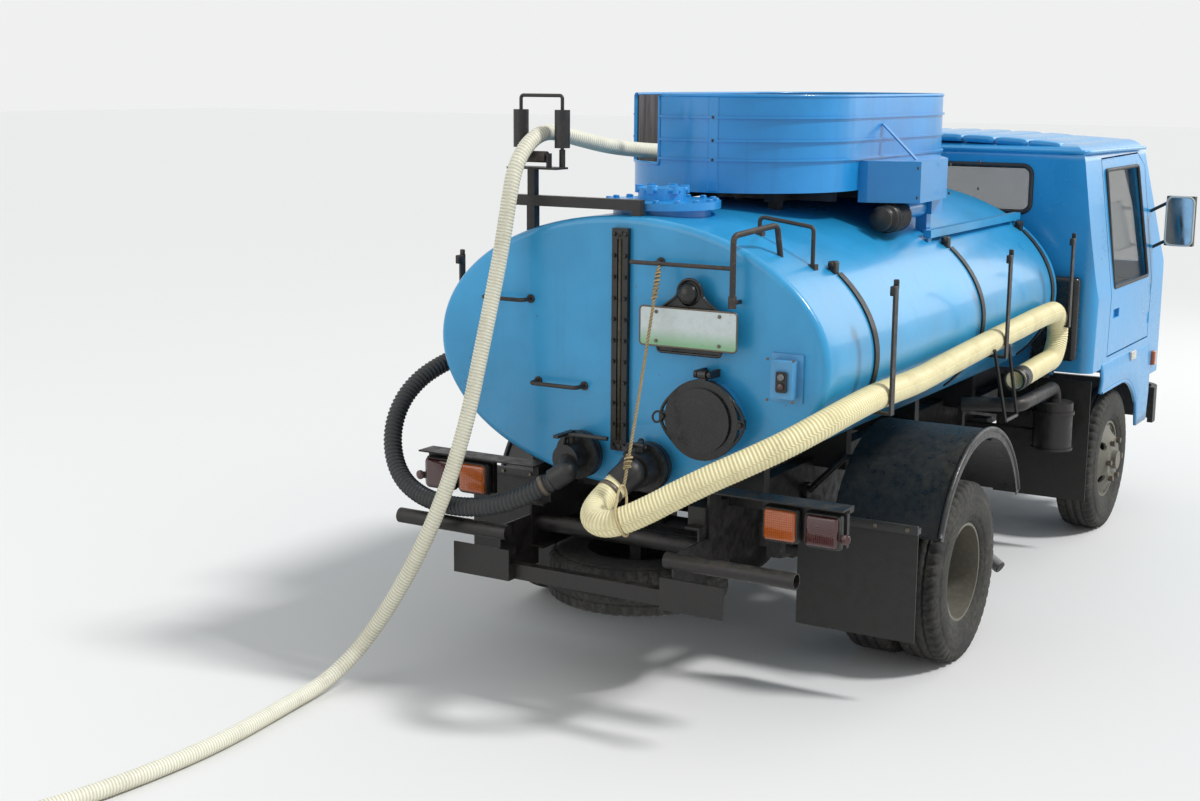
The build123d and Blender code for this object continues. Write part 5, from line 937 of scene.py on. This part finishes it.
WHEELS = (
    ("front_left", "front_wheel_left", "front_tyre_left", FRONT_AXLE_X, (FRONT_WHEEL_Y,), 0.976),
    ("front_right", "front_wheel_right", "front_tyre_right", FRONT_AXLE_X, (-FRONT_WHEEL_Y,), 0.976),
    ("rear_left", "rear_wheels_left", "rear_tyres_left", REAR_AXLE_X,
     (TWIN_INNER_Y, TWIN_OUTER_Y), 0.837),
    ("rear_right", "rear_wheels_right", "rear_tyres_right", REAR_AXLE_X,
     (-TWIN_INNER_Y, -TWIN_OUTER_Y), 0.837),
)
NUT_RING = 0.110
for name, body, node, axle_x, planes, face_y in WHEELS:
    side = 1.0 if planes[0] > 0 else -1.0
    rubber = treads(
        f"tyre_{name}", [(axle_x, y, AXLE_Z) for y in planes], (0, 1, 0), body, TYRE_SIDE
    )
    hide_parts(node)
    ring = [
        (
            axle_x + NUT_RING * math.cos(k * math.pi / 3),
            side * face_y,
            AXLE_Z + NUT_RING * math.sin(k * math.pi / 3),
        )
        for k in range(6)
    ]
    hex_bolts(f"nuts_{name}", ring, (0, side, 0), 0.0155, 0.022, body, zinc_bolt)
    outer = side * (max(abs(y) for y in planes) + 0.0805)
    turned(
        f"rim_edge_{name}",
        [
            (-0.006, 0.2185), (0.001, 0.2245), (0.004, 0.2225), (0.0045, 0.2190), (0.001, 0.2155),
            (-0.006, 0.2185),
        ],
        (axle_x, outer, AXLE_Z), (0, side, 0), 96, body, rim_grey,
    )
SPARE_AT = (HEAD_X + 0.250, 0.060, 0.430)
SPARE_ROWS = ((0.0780, 0.3500, 0.0),) + TYRE_SIDE[12:]
treads("spare_tread", [SPARE_AT], (0, 0, 1), "chassis", SPARE_ROWS, 0.965)


# Lamps
LAMP_X = -2.109
LAMP_LOW = 0.712
LAMP_HIGH = 0.844
LAMP_HALF = 0.072
for side_name, side in SIDES:
    for colour_name, y, lens in (("red", 0.848, red_lens), ("amber", 0.682, amber_lens)):
        y *= side
        housing = rounded_box(
            f"lamp_housing_{colour_name}_{side_name}",
            (LAMP_X - 0.034, y - LAMP_HALF, LAMP_LOW), (LAMP_X, y + LAMP_HALF, LAMP_HIGH),
            0.012, "chassis", black_mould,
        )
        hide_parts("tail_lamps")
        rounded_box(
            f"lamp_lens_{colour_name}_{side_name}",
            (LAMP_X - 0.050, y - LAMP_HALF + 0.008, LAMP_LOW + 0.008),
            (LAMP_X - 0.020, y + LAMP_HALF - 0.008, LAMP_HIGH - 0.008),
            0.014, "chassis", lens, 5,
        )
        edge = round_rectangle(
            (y - LAMP_HALF + 0.006, LAMP_LOW + 0.006), (y + LAMP_HALF - 0.006, LAMP_HIGH - 0.006), 0.018
        )
        loop_tube(
            f"lamp_bezel_{colour_name}_{side_name}",
            stand_at(LAMP_X - 0.036, edge), 0.0045, 8, "chassis", black_mould,
        )
    turned(
        f"reflector_{side_name}",
        [(-0.004, 0.0), (-0.004, 0.019), (0.004, 0.019), (0.005, 0.016), (0.008, 0.012), (0.009, 0.0)],
        (LAMP_X - 0.042, side * 0.941, 0.762), (-1, 0, 0), 32, "chassis", red_lens,
    )
    rounded_box(
        f"reflector_tab_{side_name}",
        (LAMP_X - 0.040, side * 0.915, 0.748), (LAMP_X - 0.030, side * 0.956, 0.776), 0.003,
        "chassis", frame_black, 2,
    )

# Level gauge: two rows of cover bolts and the sight tube between them
GAUGE_FACE_X = -2.151
gauge_z = np.linspace(0.998, 1.800, 11)
hex_bolts(
    "gauge_bolts",
    [(GAUGE_FACE_X, y, z) for y in (-0.0235, 0.0235) for z in gauge_z],
    (-1, 0, 0), 0.0075, 0.010, "chassis", gauge_black,
)
turned(
    "gauge_tube",
    [(0.0, 0.0), (0.0, 0.0085), (0.812, 0.0085), (0.812, 0.0)],
    (GAUGE_FACE_X + 0.006, 0.0, 0.992), (0, 0, 1), 20, "chassis", sight_olive,
)
for end_name, z in (("low", 0.990), ("high", 1.806)):
    rounded_box(
        f"gauge_end_{end_name}", (GAUGE_FACE_X - 0.004, -0.013, z - 0.010),
        (GAUGE_FACE_X + 0.010, 0.013, z + 0.010), 0.003, "chassis", gauge_black, 2,
    )

# Plate, its pressed backing and the dome over it
PLATE_Y = -0.315
PLATE_LOW = 1.403
PLATE_HIGH = 1.547
BACKING_X = -2.178


def backing_outline():
    """Half width by height: full to the shoulders, then half a cosine down to the round top."""
    share = np.linspace(0, 1, 12)
    narrowing = 0.5 + 0.5 * np.cos(math.pi * share)
    shoulder = np.column_stack([0.050 + 0.082 * narrowing, 1.520 + 0.085 * share])
    arc = np.linspace(0, math.pi / 2, 8)[1:]
    top = np.column_stack([0.050 * np.cos(arc), 1.605 + 0.050 * np.sin(arc)])
    foot = np.array([(0.118, 1.380), (0.128, 1.384), (0.132, 1.394)])
    half = np.concatenate([foot, shoulder, top])
    other = half[::-1][1:] * (-1, 1)
    whole = np.concatenate([half, other])
    whole[:, 0] += PLATE_Y
    return whole


backing_edge = backing_outline()
backing = slab("plate_backing", backing_edge, BACKING_X - 0.004, BACKING_X, 0, "chassis", intake_black)
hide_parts("plate_bracket")
loop_tube(
    "plate_backing_rim", stand_at(BACKING_X - 0.004, backing_edge),
    0.0055, 8, "chassis", intake_black,
)
for count, y in enumerate((PLATE_Y - 0.08, PLATE_Y + 0.08)):
    turned(
        f"plate_standoff_{count}", [(0.0, 0.0), (0.0, 0.011), (0.050, 0.011), (0.050, 0.0)],
        (BACKING_X, y, 1.470), (1, 0, 0), 16, "chassis", frame_black,
    )
dome_turn = np.linspace(0, math.pi / 2, 10)
turned(
    "plate_dome",
    [(-0.002, 0.0), (-0.002, 0.046), (0.004, 0.046)]
    + [(0.004 + 0.036 * math.sin(a), 0.040 * math.cos(a)) for a in dome_turn[:-1]] + [(0.040, 0.0)],
    (BACKING_X - 0.003, PLATE_Y + 0.004, 1.602), (-1, 0, 0), 36, "chassis", intake_black,
)
plate_edge = round_rectangle((PLATE_Y - 0.2, PLATE_LOW), (PLATE_Y + 0.2, PLATE_HIGH), 0.014)
slab("bare_plate", plate_edge, BACKING_X - 0.0185, BACKING_X - 0.0155, 0, "chassis", plate_face, 0.0008)
loop_tube(
    "plate_frame", stand_at(BACKING_X - 0.0175, plate_edge),
    0.0035, 8, "chassis", zinc_bolt,
)
hex_bolts(
    "plate_bolts",
    [
        (BACKING_X - 0.0185, PLATE_Y + y, z)
        for y in (-0.13, 0.13)
        for z in (PLATE_HIGH - 0.018, PLATE_LOW + 0.018)
    ],
    (-1, 0, 0), 0.007, 0.005, "chassis", zinc_bolt,
)
rounded_box(
    "plate_spacer", (BACKING_X - 0.016, PLATE_Y - 0.14, 1.455), (BACKING_X - 0.003, PLATE_Y + 0.14, 1.500),
    0.004, "chassis", frame_black, 2,
)

# Hatch lid: rolled edge, latch ring on its left ear and a bolt on each ear
HATCH_AT = (-2.206, -0.385, 1.145)
hatch_turn = np.linspace(0, 2 * math.pi, 72, endpoint=False)
hatch_reach = 0.1445 + 0.026 * np.abs(np.cos(hatch_turn)) ** 9
loop_tube(
    "hatch_rolled_edge",
    np.column_stack([
        np.full(72, HATCH_AT[0]),
        HATCH_AT[1] + hatch_reach * np.cos(hatch_turn),
        HATCH_AT[2] + hatch_reach * np.sin(hatch_turn),
    ]),
    0.0065, 10, "hatch_lid", intake_black,
)
latch_turn = np.linspace(0, 2 * math.pi, 28, endpoint=False)
loop_tube(
    "hatch_latch_ring",
    np.column_stack([
        HATCH_AT[0] - 0.012 + 0.006 * np.sin(latch_turn),
        -0.206 + 0.019 * np.cos(latch_turn),
        1.141 + 0.019 * np.sin(latch_turn),
    ]),
    0.0045, 8, "hatch_lid", gauge_black,
)
hex_bolts(
    "hatch_ear_bolts", [(HATCH_AT[0] - 0.002, -0.226, 1.145), (HATCH_AT[0] - 0.002, -0.544, 1.145)],
    (-1, 0, 0), 0.011, 0.016, "hatch_lid", gauge_black,
)

# Manhole: nuts round the flange and a lobed crown on the cap
MANHOLE_X = HEAD_X + 0.300
flange_turn = np.arange(16) * math.pi / 8
hex_bolts(
    "manhole_nuts",
    np.column_stack([
        MANHOLE_X + 0.208 * np.cos(flange_turn), 0.208 * np.sin(flange_turn), np.full(16, 1.910)
    ]),
    (0, 0, 1), 0.0120, 0.011, "chassis", basin_blue,
)


def lobed_crown():
    """A low ring whose outer radius and top rise and fall six times round: 0.0870 + 0.013 p and
    1.950 + 0.012 p, with p the sixth harmonic pushed towards flat tops."""
    around = 120
    angle = np.linspace(0, 2 * math.pi, around, endpoint=False)
    pulse = np.tanh(3.0 * (np.cos(6 * angle) + 0.25)) * 0.5 + 0.5
    outer = 0.0870 + 0.013 * pulse
    inner = np.full(around, 0.058)
    top = 1.950 + 0.012 * pulse
    rings = (
        (outer, np.full(around, 1.943)), (outer, top - 0.004), (outer - 0.005, top),
        (inner + 0.004, top), (inner, top - 0.004), (inner, np.full(around, 1.940)),
    )
    rows = [
        np.column_stack([MANHOLE_X + radius * np.cos(angle), radius * np.sin(angle), z])
        for radius, z in rings
    ]
    closed_piece(
        "manhole_crown", np.array(rows), grid_faces(6, around, True, True), "chassis", basin_blue
    )


lobed_crown()


# Hose basin: a dark sheet inside as painted shade, rolled rim, notch edging, seam and its bolts
def basin_point(angle, radius):
    """A point on the basin's oval wall at an angle about the nearer half ring's centre; between
    the rings the wall runs straight."""
    x = radius * np.cos(angle)
    y = radius * np.sin(angle)
    return BASIN_X + x + np.where(x >= 0, BASIN_HALF, -BASIN_HALF), y


def oval_line(radius, start, end, count):
    """Points along the oval from one angle to another, the straights included."""
    angle = np.linspace(start, end, count)
    quarter = [a for a in (math.pi / 2, 3 * math.pi / 2, 5 * math.pi / 2) if start < a < end]
    angle = np.sort(np.concatenate([angle, [a - 1e-4 for a in quarter], [a + 1e-4 for a in quarter]]))
    x, y = basin_point(angle, radius)
    return np.column_stack([x, y])


def basin_shade_sheet():
    """A thin dark wall just inside the basin, open at the notch, as painted shade for the basin's inside:
    a rectangle carried along the oval."""
    wall = []
    for radius, z in ((0.4725, 1.934), (0.4725, 2.303), (0.4690, 2.303), (0.4690, 1.934)):
        line = oval_line(radius, math.radians(160), math.radians(474), 96)
        wall.append(np.column_stack([line, np.full(len(line), z)]))
    rows = np.array(wall).transpose(1, 0, 2)
    closed_piece("basin_shade_sheet", rows, capped_faces(len(rows), 4), "chassis", painted_shade_grey, False)


basin_shade_sheet()
rim_line = oval_line(0.477, math.radians(158.5), math.radians(475.5), 120)
closed_tube(
    "basin_rolled_rim", np.column_stack([rim_line, np.full(len(rim_line), 2.306)]),
    0.0075, 10, "chassis", basin_blue,
)
NOTCH_Z = 2.030
notch_low = oval_line(0.4795, math.radians(117), math.radians(157), 16)
notch_edge = np.concatenate([
    [(notch_low[0][0], notch_low[0][1], z) for z in np.linspace(2.304, NOTCH_Z + 0.012, 12)],
    np.column_stack([notch_low, np.full(len(notch_low), NOTCH_Z)]),
    [(notch_low[-1][0], notch_low[-1][1], z) for z in np.linspace(NOTCH_Z + 0.012, 2.304, 12)],
])
closed_tube(
    "notch_edging", notch_edge, 0.0075, 8, "chassis", basin_blue
)
SEAM_ANGLE = math.radians(189)
seam_x, seam_y = basin_point(SEAM_ANGLE, 0.4825)
seam_out = np.array((math.cos(SEAM_ANGLE), math.sin(SEAM_ANGLE), 0.0))
seam_side = np.array((-seam_out[1], seam_out[0], 0.0))


def seam_strip():
    """A narrow lapped strip up the wall with a soft edge: half width 0.022, thickness 0.0065."""
    z = np.linspace(1.932, 2.300, 24)
    across = np.array((-0.022, -0.018, 0.018, 0.022, 0.018, -0.018))
    out = np.array((0.0, 0.0035, 0.0035, 0.0, -0.003, -0.003))
    centre = np.array((float(seam_x), float(seam_y), 0.0)) - 0.002 * seam_out
    points = (
        centre
        + across[None, :, None] * seam_side
        + out[None, :, None] * seam_out
        + z[:, None, None] * np.array((0.0, 0.0, 1.0))
    )
    faces = capped_faces(len(z), len(across))
    closed_piece("basin_seam", points, faces, "chassis", basin_blue, False)


seam_strip()
hex_bolts(
    "basin_seam_bolts",
    [(float(seam_x) + 0.001 * seam_out[0], float(seam_y), z) for z in (2.222, 2.131, 2.055)],
    seam_out, 0.0065, 0.006, "chassis", gauge_black,
)

# Drive box: small motor under its rear end, lid strap bolts
motor_profile = [(0.0, 0.0), (0.0, 0.022), (0.012, 0.024), (0.014, 0.052), (0.022, 0.058)]
for fin in range(9):
    motor_profile += [
        (0.030 + 0.014 * fin, 0.058), (0.031 + 0.014 * fin, 0.064),
        (0.037 + 0.014 * fin, 0.064), (0.038 + 0.014 * fin, 0.058),
    ]
motor_profile += [(0.160, 0.058), (0.168, 0.050), (0.196, 0.048), (0.204, 0.040), (0.204, 0.0)]
turned(
    "drive_motor", motor_profile, (-1.010, -0.590, 1.812), (1, 0, 0), 40, "chassis", iron_black
)
turned(
    "drive_pulley",
    [(-0.018, 0.0), (-0.018, 0.046), (-0.010, 0.050), (-0.004, 0.036), (0.004, 0.036), (0.010, 0.050),
     (0.018, 0.046), (0.018, 0.0)],
    (-1.034, -0.590, 1.812), (1, 0, 0), 40, "chassis", gauge_black,
)
hex_bolts(
    "drive_box_bolts",
    [(x, -0.7205, 1.900 + 0.120 * row) for x in (-0.990, -0.610, -0.230) for row in (0, 1)],
    (0, -1, 0), 0.007, 0.005, "chassis", gauge_black,
)

# Posts and straps: hooks, bolts and the stirrup under the middle post
POST_STATIONS = (0.300, 1.640, 2.600)
STRAP_STATIONS = (0.420, 1.650, 2.690)
for count, station in enumerate(POST_STATIONS):
    for side_name, side in SIDES:
        x = HEAD_X + station
        y = side * 0.9635
        rounded_box(
            f"post_hook_{side_name}_{count}",
            (x - 0.020, y - 0.010, 1.604), (x + 0.022, y + 0.010, 1.640),
            0.004, "chassis", gauge_black, 2,
        )
        rounded_box(
            f"post_hook_tip_{side_name}_{count}",
            (x + 0.012, y - 0.010, 1.626), (x + 0.026, y + 0.010, 1.662),
            0.004, "chassis", gauge_black, 2,
        )


def tank_side(y):
    """Height of the tank's skin at a distance across from its middle."""
    return TANK_Z + TANK_HALF_HEIGHT * math.sqrt(max(0.0, 1 - (y / TANK_HALF_WIDTH) ** 2))


for count, station in enumerate(STRAP_STATIONS):
    for side_name, side in SIDES:
        x = HEAD_X + station
        y = side * 0.672
        z = tank_side(y)
        rounded_box(
            f"strap_lug_{side_name}_{count}",
            (x - 0.020, y - 0.016, z - 0.010), (x + 0.020, y + 0.016, z + 0.038),
            0.005, "chassis", gauge_black, 2,
        )
        turned(
            f"strap_pin_{side_name}_{count}",
            [
                (-0.032, 0.0), (-0.032, 0.010), (-0.026, 0.012), (-0.026, 0.007),
                (0.026, 0.007), (0.026, 0.012), (0.032, 0.010), (0.032, 0.0),
            ],
            (x, y, z + 0.026), (1, 0, 0), 16, "chassis", gauge_black,
        )
STIRRUP_Y = -0.962
stirrup = [
    (HEAD_X + 1.500, 1.245), (HEAD_X + 1.700, 0.905), (HEAD_X + 1.860, 0.905), (HEAD_X + 1.690, 1.245)
]
for count, (one, other) in enumerate(zip(stirrup, stirrup[1:])):
    run = np.linspace(np.array((one[0], STIRRUP_Y, one[1])), np.array((other[0], STIRRUP_Y, other[1])), 6)
    closed_tube(
        f"stirrup_bar_{count}", run, 0.0085, 6, "chassis", gauge_black, 0.0, False
    )

# Valves: handles, flange nuts and hose clamps
VALVE_FLANGES = ((0.165, 0.950, 0.078), (-0.123, 0.940, 0.088))


def hose_clamp(name, line, metres, radius):
    """A flat band round a hose with its screw housing, square to the hose's line."""
    spacing = np.linalg.norm(line[1] - line[0])
    index = int(round(metres / spacing))
    way = line[index + 2] - line[index - 2]
    way /= np.linalg.norm(way)
    turned(
        name,
        [
            (-0.009, radius - 0.004), (-0.009, radius + 0.0025), (0.009, radius + 0.0025),
            (0.009, radius - 0.004), (-0.009, radius - 0.004),
        ],
        line[index], way, 40, "chassis", zinc_bolt,
    )
    side = np.cross(way, (0.0, 0.0, 1.0))
    side /= np.linalg.norm(side)
    turned(
        name + "_screw",
        [(-0.016, 0.0), (-0.016, 0.006), (-0.010, 0.0075), (0.014, 0.0075), (0.016, 0.005), (0.016, 0.0)],
        line[index] + side * (radius + 0.006), np.cross(way, side), 12, "chassis", zinc_bolt,
    )


hose_clamp("clamp_black", black_line, 0.040, 0.038)
hose_clamp("clamp_cream", cream_line, 0.045, 0.050)
for count, (y, z, ring) in enumerate(VALVE_FLANGES):
    turn = np.arange(6) * math.pi / 3 + 0.3
    hex_bolts(
        f"valve_nuts_{count}",
        np.column_stack([np.full(6, -2.1520), y + ring * np.cos(turn), z + ring * np.sin(turn)]),
        (-1, 0, 0), 0.011, 0.012, "chassis", iron_black,
    )
bent(
    "valve_handle_left",
    [(-0.140, 0.165, 0.985), (-0.150, 0.165, 1.035), (-0.165, 0.120, 1.050), (-0.168, 0.000, 1.052),
     (-0.168, -0.040, 1.052)],
    0.0085, "chassis", iron_black,
)
bent(
    "valve_handle_right",
    [(-0.140, -0.110, 0.985), (-0.150, -0.110, 1.030), (-0.170, -0.140, 1.046), (-0.185, -0.210, 1.046)],
    0.0085, "chassis", iron_black,
)

# Cab
ROOF_CROWN = 2.1005
ROOF_EDGE = 0.905


def roof_swage(name, middle):
    """A raised strip lengthwise on the roof: the roof's own curve across plus 0.0085 (1 - u^6),
    faded out at both ends."""
    u = np.linspace(-1, 1, 13)
    x = np.array((0.880, 0.890, 0.905, 1.20, 1.55, 1.735, 1.750, 1.760))
    rise = np.array((0.0, 0.6, 1.0, 1.0, 1.0, 1.0, 0.6, 0.0))
    y = middle + 0.078 * u
    roof = ROOF_CROWN - 0.050 * (y / ROOF_EDGE) ** 2
    top = roof[None, :] + 0.0085 * rise[:, None] * (1 - u[None, :] ** 6)
    low = np.broadcast_to(roof[None, :] - 0.030, top.shape)
    upper = np.stack([np.broadcast_to(x[:, None], top.shape), np.broadcast_to(y, top.shape), top], axis=-1)
    under = np.stack([np.broadcast_to(x[:, None], low.shape), np.broadcast_to(y, low.shape), low], axis=-1)
    section = np.concatenate([upper, under[:, ::-1]], axis=1)
    faces = capped_faces(len(x), section.shape[1])
    closed_piece(name, section, faces, "cab", cab_blue)


for count, middle in enumerate((-0.680, -0.510, -0.340, -0.170, 0.0, 0.170, 0.340, 0.510, 0.680)):
    roof_swage(f"roof_swage_{count}", middle)
drip_rail = [
    (1.960, -0.915, 2.020), (1.500, -0.915, 2.026), (0.930, -0.913, 2.030), (0.848, -0.905, 2.030),
    (0.829, -0.850, 2.030), (0.828, -0.600, 2.032), (0.828, 0.600, 2.032), (0.829, 0.850, 2.030),
    (0.848, 0.905, 2.030), (0.930, 0.913, 2.030), (1.500, 0.915, 2.026), (1.960, 0.915, 2.020),
]
bent("drip_rail", [(x - HEAD_X, y, z) for x, y, z in drip_rail], 0.0105, "cab", cab_blue, 10)
window_edge = round_rectangle((-0.640, 1.725), (0.640, 1.955), 0.045)
loop_tube(
    "rear_window_rubber", stand_at(0.829, window_edge),
    0.0125, 8, "cab", black_mould,
)
DOOR_GLASS = ((1.193, 1.330), (1.193, 1.928), (1.834, 1.928), (1.893, 1.370), (1.893, 1.330))


def cab_side(z):
    """How far out the cab's skin stands at a height."""
    return 0.997 - (z - 1.300) * 0.1230


def softened(corners, cut):
    """A polygon whose corners are each rounded by a quadratic curve between two cuts."""
    corners = np.asarray(corners, float)
    line = []
    for k in range(len(corners)):
        before, here, after = corners[k - 1], corners[k], corners[(k + 1) % len(corners)]
        back = (before - here) / np.linalg.norm(before - here)
        ahead = (after - here) / np.linalg.norm(after - here)
        start, end = here + back * cut, here + ahead * cut
        share = np.linspace(0, 1, 6)[:, None]
        line.append((1 - share) ** 2 * start + 2 * share * (1 - share) * here + share ** 2 * end)
    return np.concatenate(line)


for side_name, side in SIDES:
    edge = softened(DOOR_GLASS, 0.018)
    skin = side * (cab_side(edge[:, 1]) - 0.003)
    loop_tube(
        f"door_window_rubber_{side_name}", np.column_stack([edge[:, 0], skin, edge[:, 1]]),
        0.0095, 8, f"door_{side_name}", black_mould,
    )
    near, far = sorted((side * 1.052, side * 1.188))
    mirror_edge = round_rectangle((near, 1.497), (far, 1.753), 0.030)
    slab(
        f"mirror_face_{side_name}", mirror_edge, 1.9905, 1.9945, 0, "cab", silvered, 0.001
    )
    near, far = sorted((side * 1.048, side * 1.192))
    mirror_rim = round_rectangle((near, 1.493), (far, 1.757), 0.032)
    loop_tube(
        f"mirror_rim_{side_name}", stand_at(1.993, mirror_rim),
        0.0055, 8, "cab", mirror_shell,
    )
    rounded_box(
        f"wing_lamp_{side_name}", (1.590, side * 0.990, 0.895), (1.700, side * 1.008, 0.945), 0.007,
        "cab", pale_lens, 4,
    )
    rounded_box(
        f"corner_lamp_{side_name}", (2.110, side * 0.985, 0.800), (2.165, side * 1.012, 0.880), 0.008,
        "cab", amber_lens, 4,
    )


# Wing over the front wheel, carried by the cab
WING_ARCH_R = 0.425
WING_REAR_Z = 0.802
WING_FOOT_Z = 0.500
WING_TOP_Z = 0.960
WING_OUTER_Y = 0.990
WING_INNER_Y = 0.976


def front_wing(side_name, side):
    """A skin between the cab's lower edge and an arc round the wheel: heights blend from the arc's
    z(x) to the cab's edge, bowed outwards by 0.012 sin(pi u) + 0.006 (1 - u)^3, and
    0.014 thick."""
    x = np.concatenate([np.linspace(1.030, 1.830, 26), np.linspace(1.850, 2.050, 5)])
    arc = AXLE_Z + np.sqrt(np.maximum(WING_ARCH_R ** 2 - (x - FRONT_AXLE_X) ** 2, 0.0))
    lower = np.where(x < FRONT_AXLE_X, np.maximum(arc, WING_REAR_Z), arc)
    lower = np.where(x > 1.822, WING_FOOT_Z, lower)
    lower = np.clip(lower, WING_FOOT_Z, 0.925)
    share = np.linspace(0, 1, 9)
    z = lower[:, None] + (WING_TOP_Z - lower)[:, None] * share[None, :]
    bow = 0.012 * np.sin(math.pi * share)[None, :] + 0.006 * (1 - share)[None, :] ** 3
    outer = side * (WING_OUTER_Y + bow + 0 * z)
    inner = side * (WING_INNER_Y + bow + 0 * z)
    wide = np.broadcast_to(x[:, None], z.shape)
    section = np.concatenate(
        [np.stack([wide, outer, z], axis=-1), np.stack([wide, inner, z], axis=-1)[:, ::-1]], axis=1
    )
    faces = capped_faces(len(x), section.shape[1])
    closed_piece(f"front_wing_{side_name}", section, faces, "cab", cab_blue)
    angle = np.radians(np.linspace(38, 158, 40))
    lip = np.column_stack([
        FRONT_AXLE_X + WING_ARCH_R * np.cos(angle),
        np.full(40, side * WING_OUTER_Y),
        AXLE_Z + WING_ARCH_R * np.sin(angle),
    ])
    lip[:, 2] = np.where(lip[:, 0] < FRONT_AXLE_X, np.maximum(lip[:, 2], WING_REAR_Z), lip[:, 2])
    lip = lip[lip[:, 2] >= 0.60]
    line, _ = even(lip, 0.012)
    closed_tube(
        f"wing_lip_{side_name}", line, 0.010, 8, "cab", cab_blue
    )


for side_name, side in SIDES:
    front_wing(side_name, side)

# Mudguards: rolled lips, and the bolted strip over each flap
GUARD_AT = (REAR_AXLE_X + 0.112, 0.430)
GUARD_R = 0.525
for side_name, side in SIDES:
    angle = np.radians(np.linspace(20, 160, 48))
    lip = np.column_stack([
        GUARD_AT[0] + GUARD_R * np.cos(angle),
        np.full(48, side * 1.034),
        GUARD_AT[1] + GUARD_R * np.sin(angle),
    ])
    closed_tube(f"guard_lip_{side_name}", lip, 0.0125, 10, "chassis", guard_black)
    y = sorted((side * 0.560, side * 1.030))
    rounded_box(
        f"flap_strip_{side_name}", (-1.662, y[0], 0.676), (-1.648, y[1], 0.712), 0.003,
        "chassis", guard_black, 2,
    )
    hex_bolts(
        f"flap_bolts_{side_name}", [(-1.662, side * v, 0.694) for v in (0.60, 0.72, 0.86, 0.99)],
        (-1, 0, 0), 0.009, 0.008, "chassis", zinc_bolt,
    )

# Exhaust: pale sleeve on the tail pipe
tail_line = np.array([
    (REAR_AXLE_X + 0.603, -0.640, 0.367), (REAR_AXLE_X + 0.561, -0.875, 0.331),
    (REAR_AXLE_X + 0.552, -0.905, 0.316), (REAR_AXLE_X + 0.530, -0.996, 0.264),
])
closed_tube("tail_sleeve", tail_line, 0.0285, 20, "chassis", tail_grey)

# Switch box: sunk panel, two buttons and its cover screws
SWITCH_X = -2.195
panel = round_rectangle((-0.716, 1.276), (-0.672, 1.352), 0.008)
slab("switch_panel", panel, SWITCH_X - 0.003, SWITCH_X + 0.002, 0, "chassis", gauge_black, 0.001)
for count, (z, paint) in enumerate(((1.332, grey_mould), (1.298, red_lens))):
    turned(
        f"switch_button_{count}",
        [(-0.002, 0.0), (-0.002, 0.012), (0.006, 0.012), (0.008, 0.010), (0.008, 0.0)],
        (SWITCH_X - 0.003, -0.694, z), (-1, 0, 0), 24, "chassis", paint,
    )
hex_bolts(
    "switch_screws", [(SWITCH_X, y, z) for y in (-0.740, -0.640) for z in (1.246, 1.394)],
    (-1, 0, 0), 0.006, 0.004, "chassis", zinc_bolt,
)


# Studio: pale floor, pale world and large soft lamps
def studio():
    """A floor far wider than the truck, a pale world that rays from the camera see as near white,
    a key sun high on the truck's right and two large fills."""
    made, tree, shader = blank("studio_floor")
    shader.inputs["Base Color"].default_value = (0.72, 0.72, 0.71, 1.0)
    shader.inputs["Roughness"].default_value = 0.9
    points = np.array([(-90, -90, 0), (90, -90, 0), (90, 90, 0), (-90, 90, 0)], float)
    mesh = bpy.data.meshes.new("floor")
    mesh.from_pydata(points.tolist(), [], [(0, 1, 2, 3)])
    floor = bpy.data.objects.new("floor", mesh)
    mesh.materials.append(made)
    bpy.context.scene.collection.objects.link(floor)
    world = bpy.data.worlds.new("studio_world")
    bpy.context.scene.world = world
    world.use_nodes = True
    tree = world.node_tree
    ground = tree.nodes["Background"]
    ground.inputs["Color"].default_value = (0.88, 0.91, 0.93, 1.0)
    ground.inputs["Strength"].default_value = 0.60
    seen = wire(tree, "ShaderNodeBackground", {"Color": (0.865, 0.875, 0.870, 1.0), "Strength": 1.0})
    light = wire(tree, "ShaderNodeLightPath")
    clear = maths(tree, "MAXIMUM", light.outputs["Is Camera Ray"], light.outputs["Is Glossy Ray"])
    clear = maths(tree, "MAXIMUM", clear, light.outputs["Is Transmission Ray"])
    blend = wire(tree, "ShaderNodeMixShader", {0: clear, 1: ground.outputs[0], 2: seen.outputs[0]})
    tree.links.new(blend.outputs[0], tree.nodes["World Output"].inputs["Surface"])
    for name, kind, energy, size, at in (
        ("key", "SUN", 2.45, 0.16, (2.6, -8.0, 11.0)),
        ("fill", "AREA", 170.0, 7.0, (-9.0, 4.0, 5.0)),
        ("front_fill", "AREA", 160.0, 6.0, (8.0, -4.0, 5.0)),
    ):
        data = bpy.data.lights.new(name, kind)
        data.energy = energy
        if kind == "SUN":
            data.angle = size
        else:
            data.size = size
        lamp = bpy.data.objects.new(name, data)
        bpy.context.scene.collection.objects.link(lamp)
        aim = Vector((0.0, 0.0, 1.0)) - Vector(at)
        lamp.matrix_world = Matrix.Translation(at) @ aim.to_track_quat("-Z", "Y").to_matrix().to_4x4()


studio()
bpy.context.scene.view_settings.view_transform = "Standard"
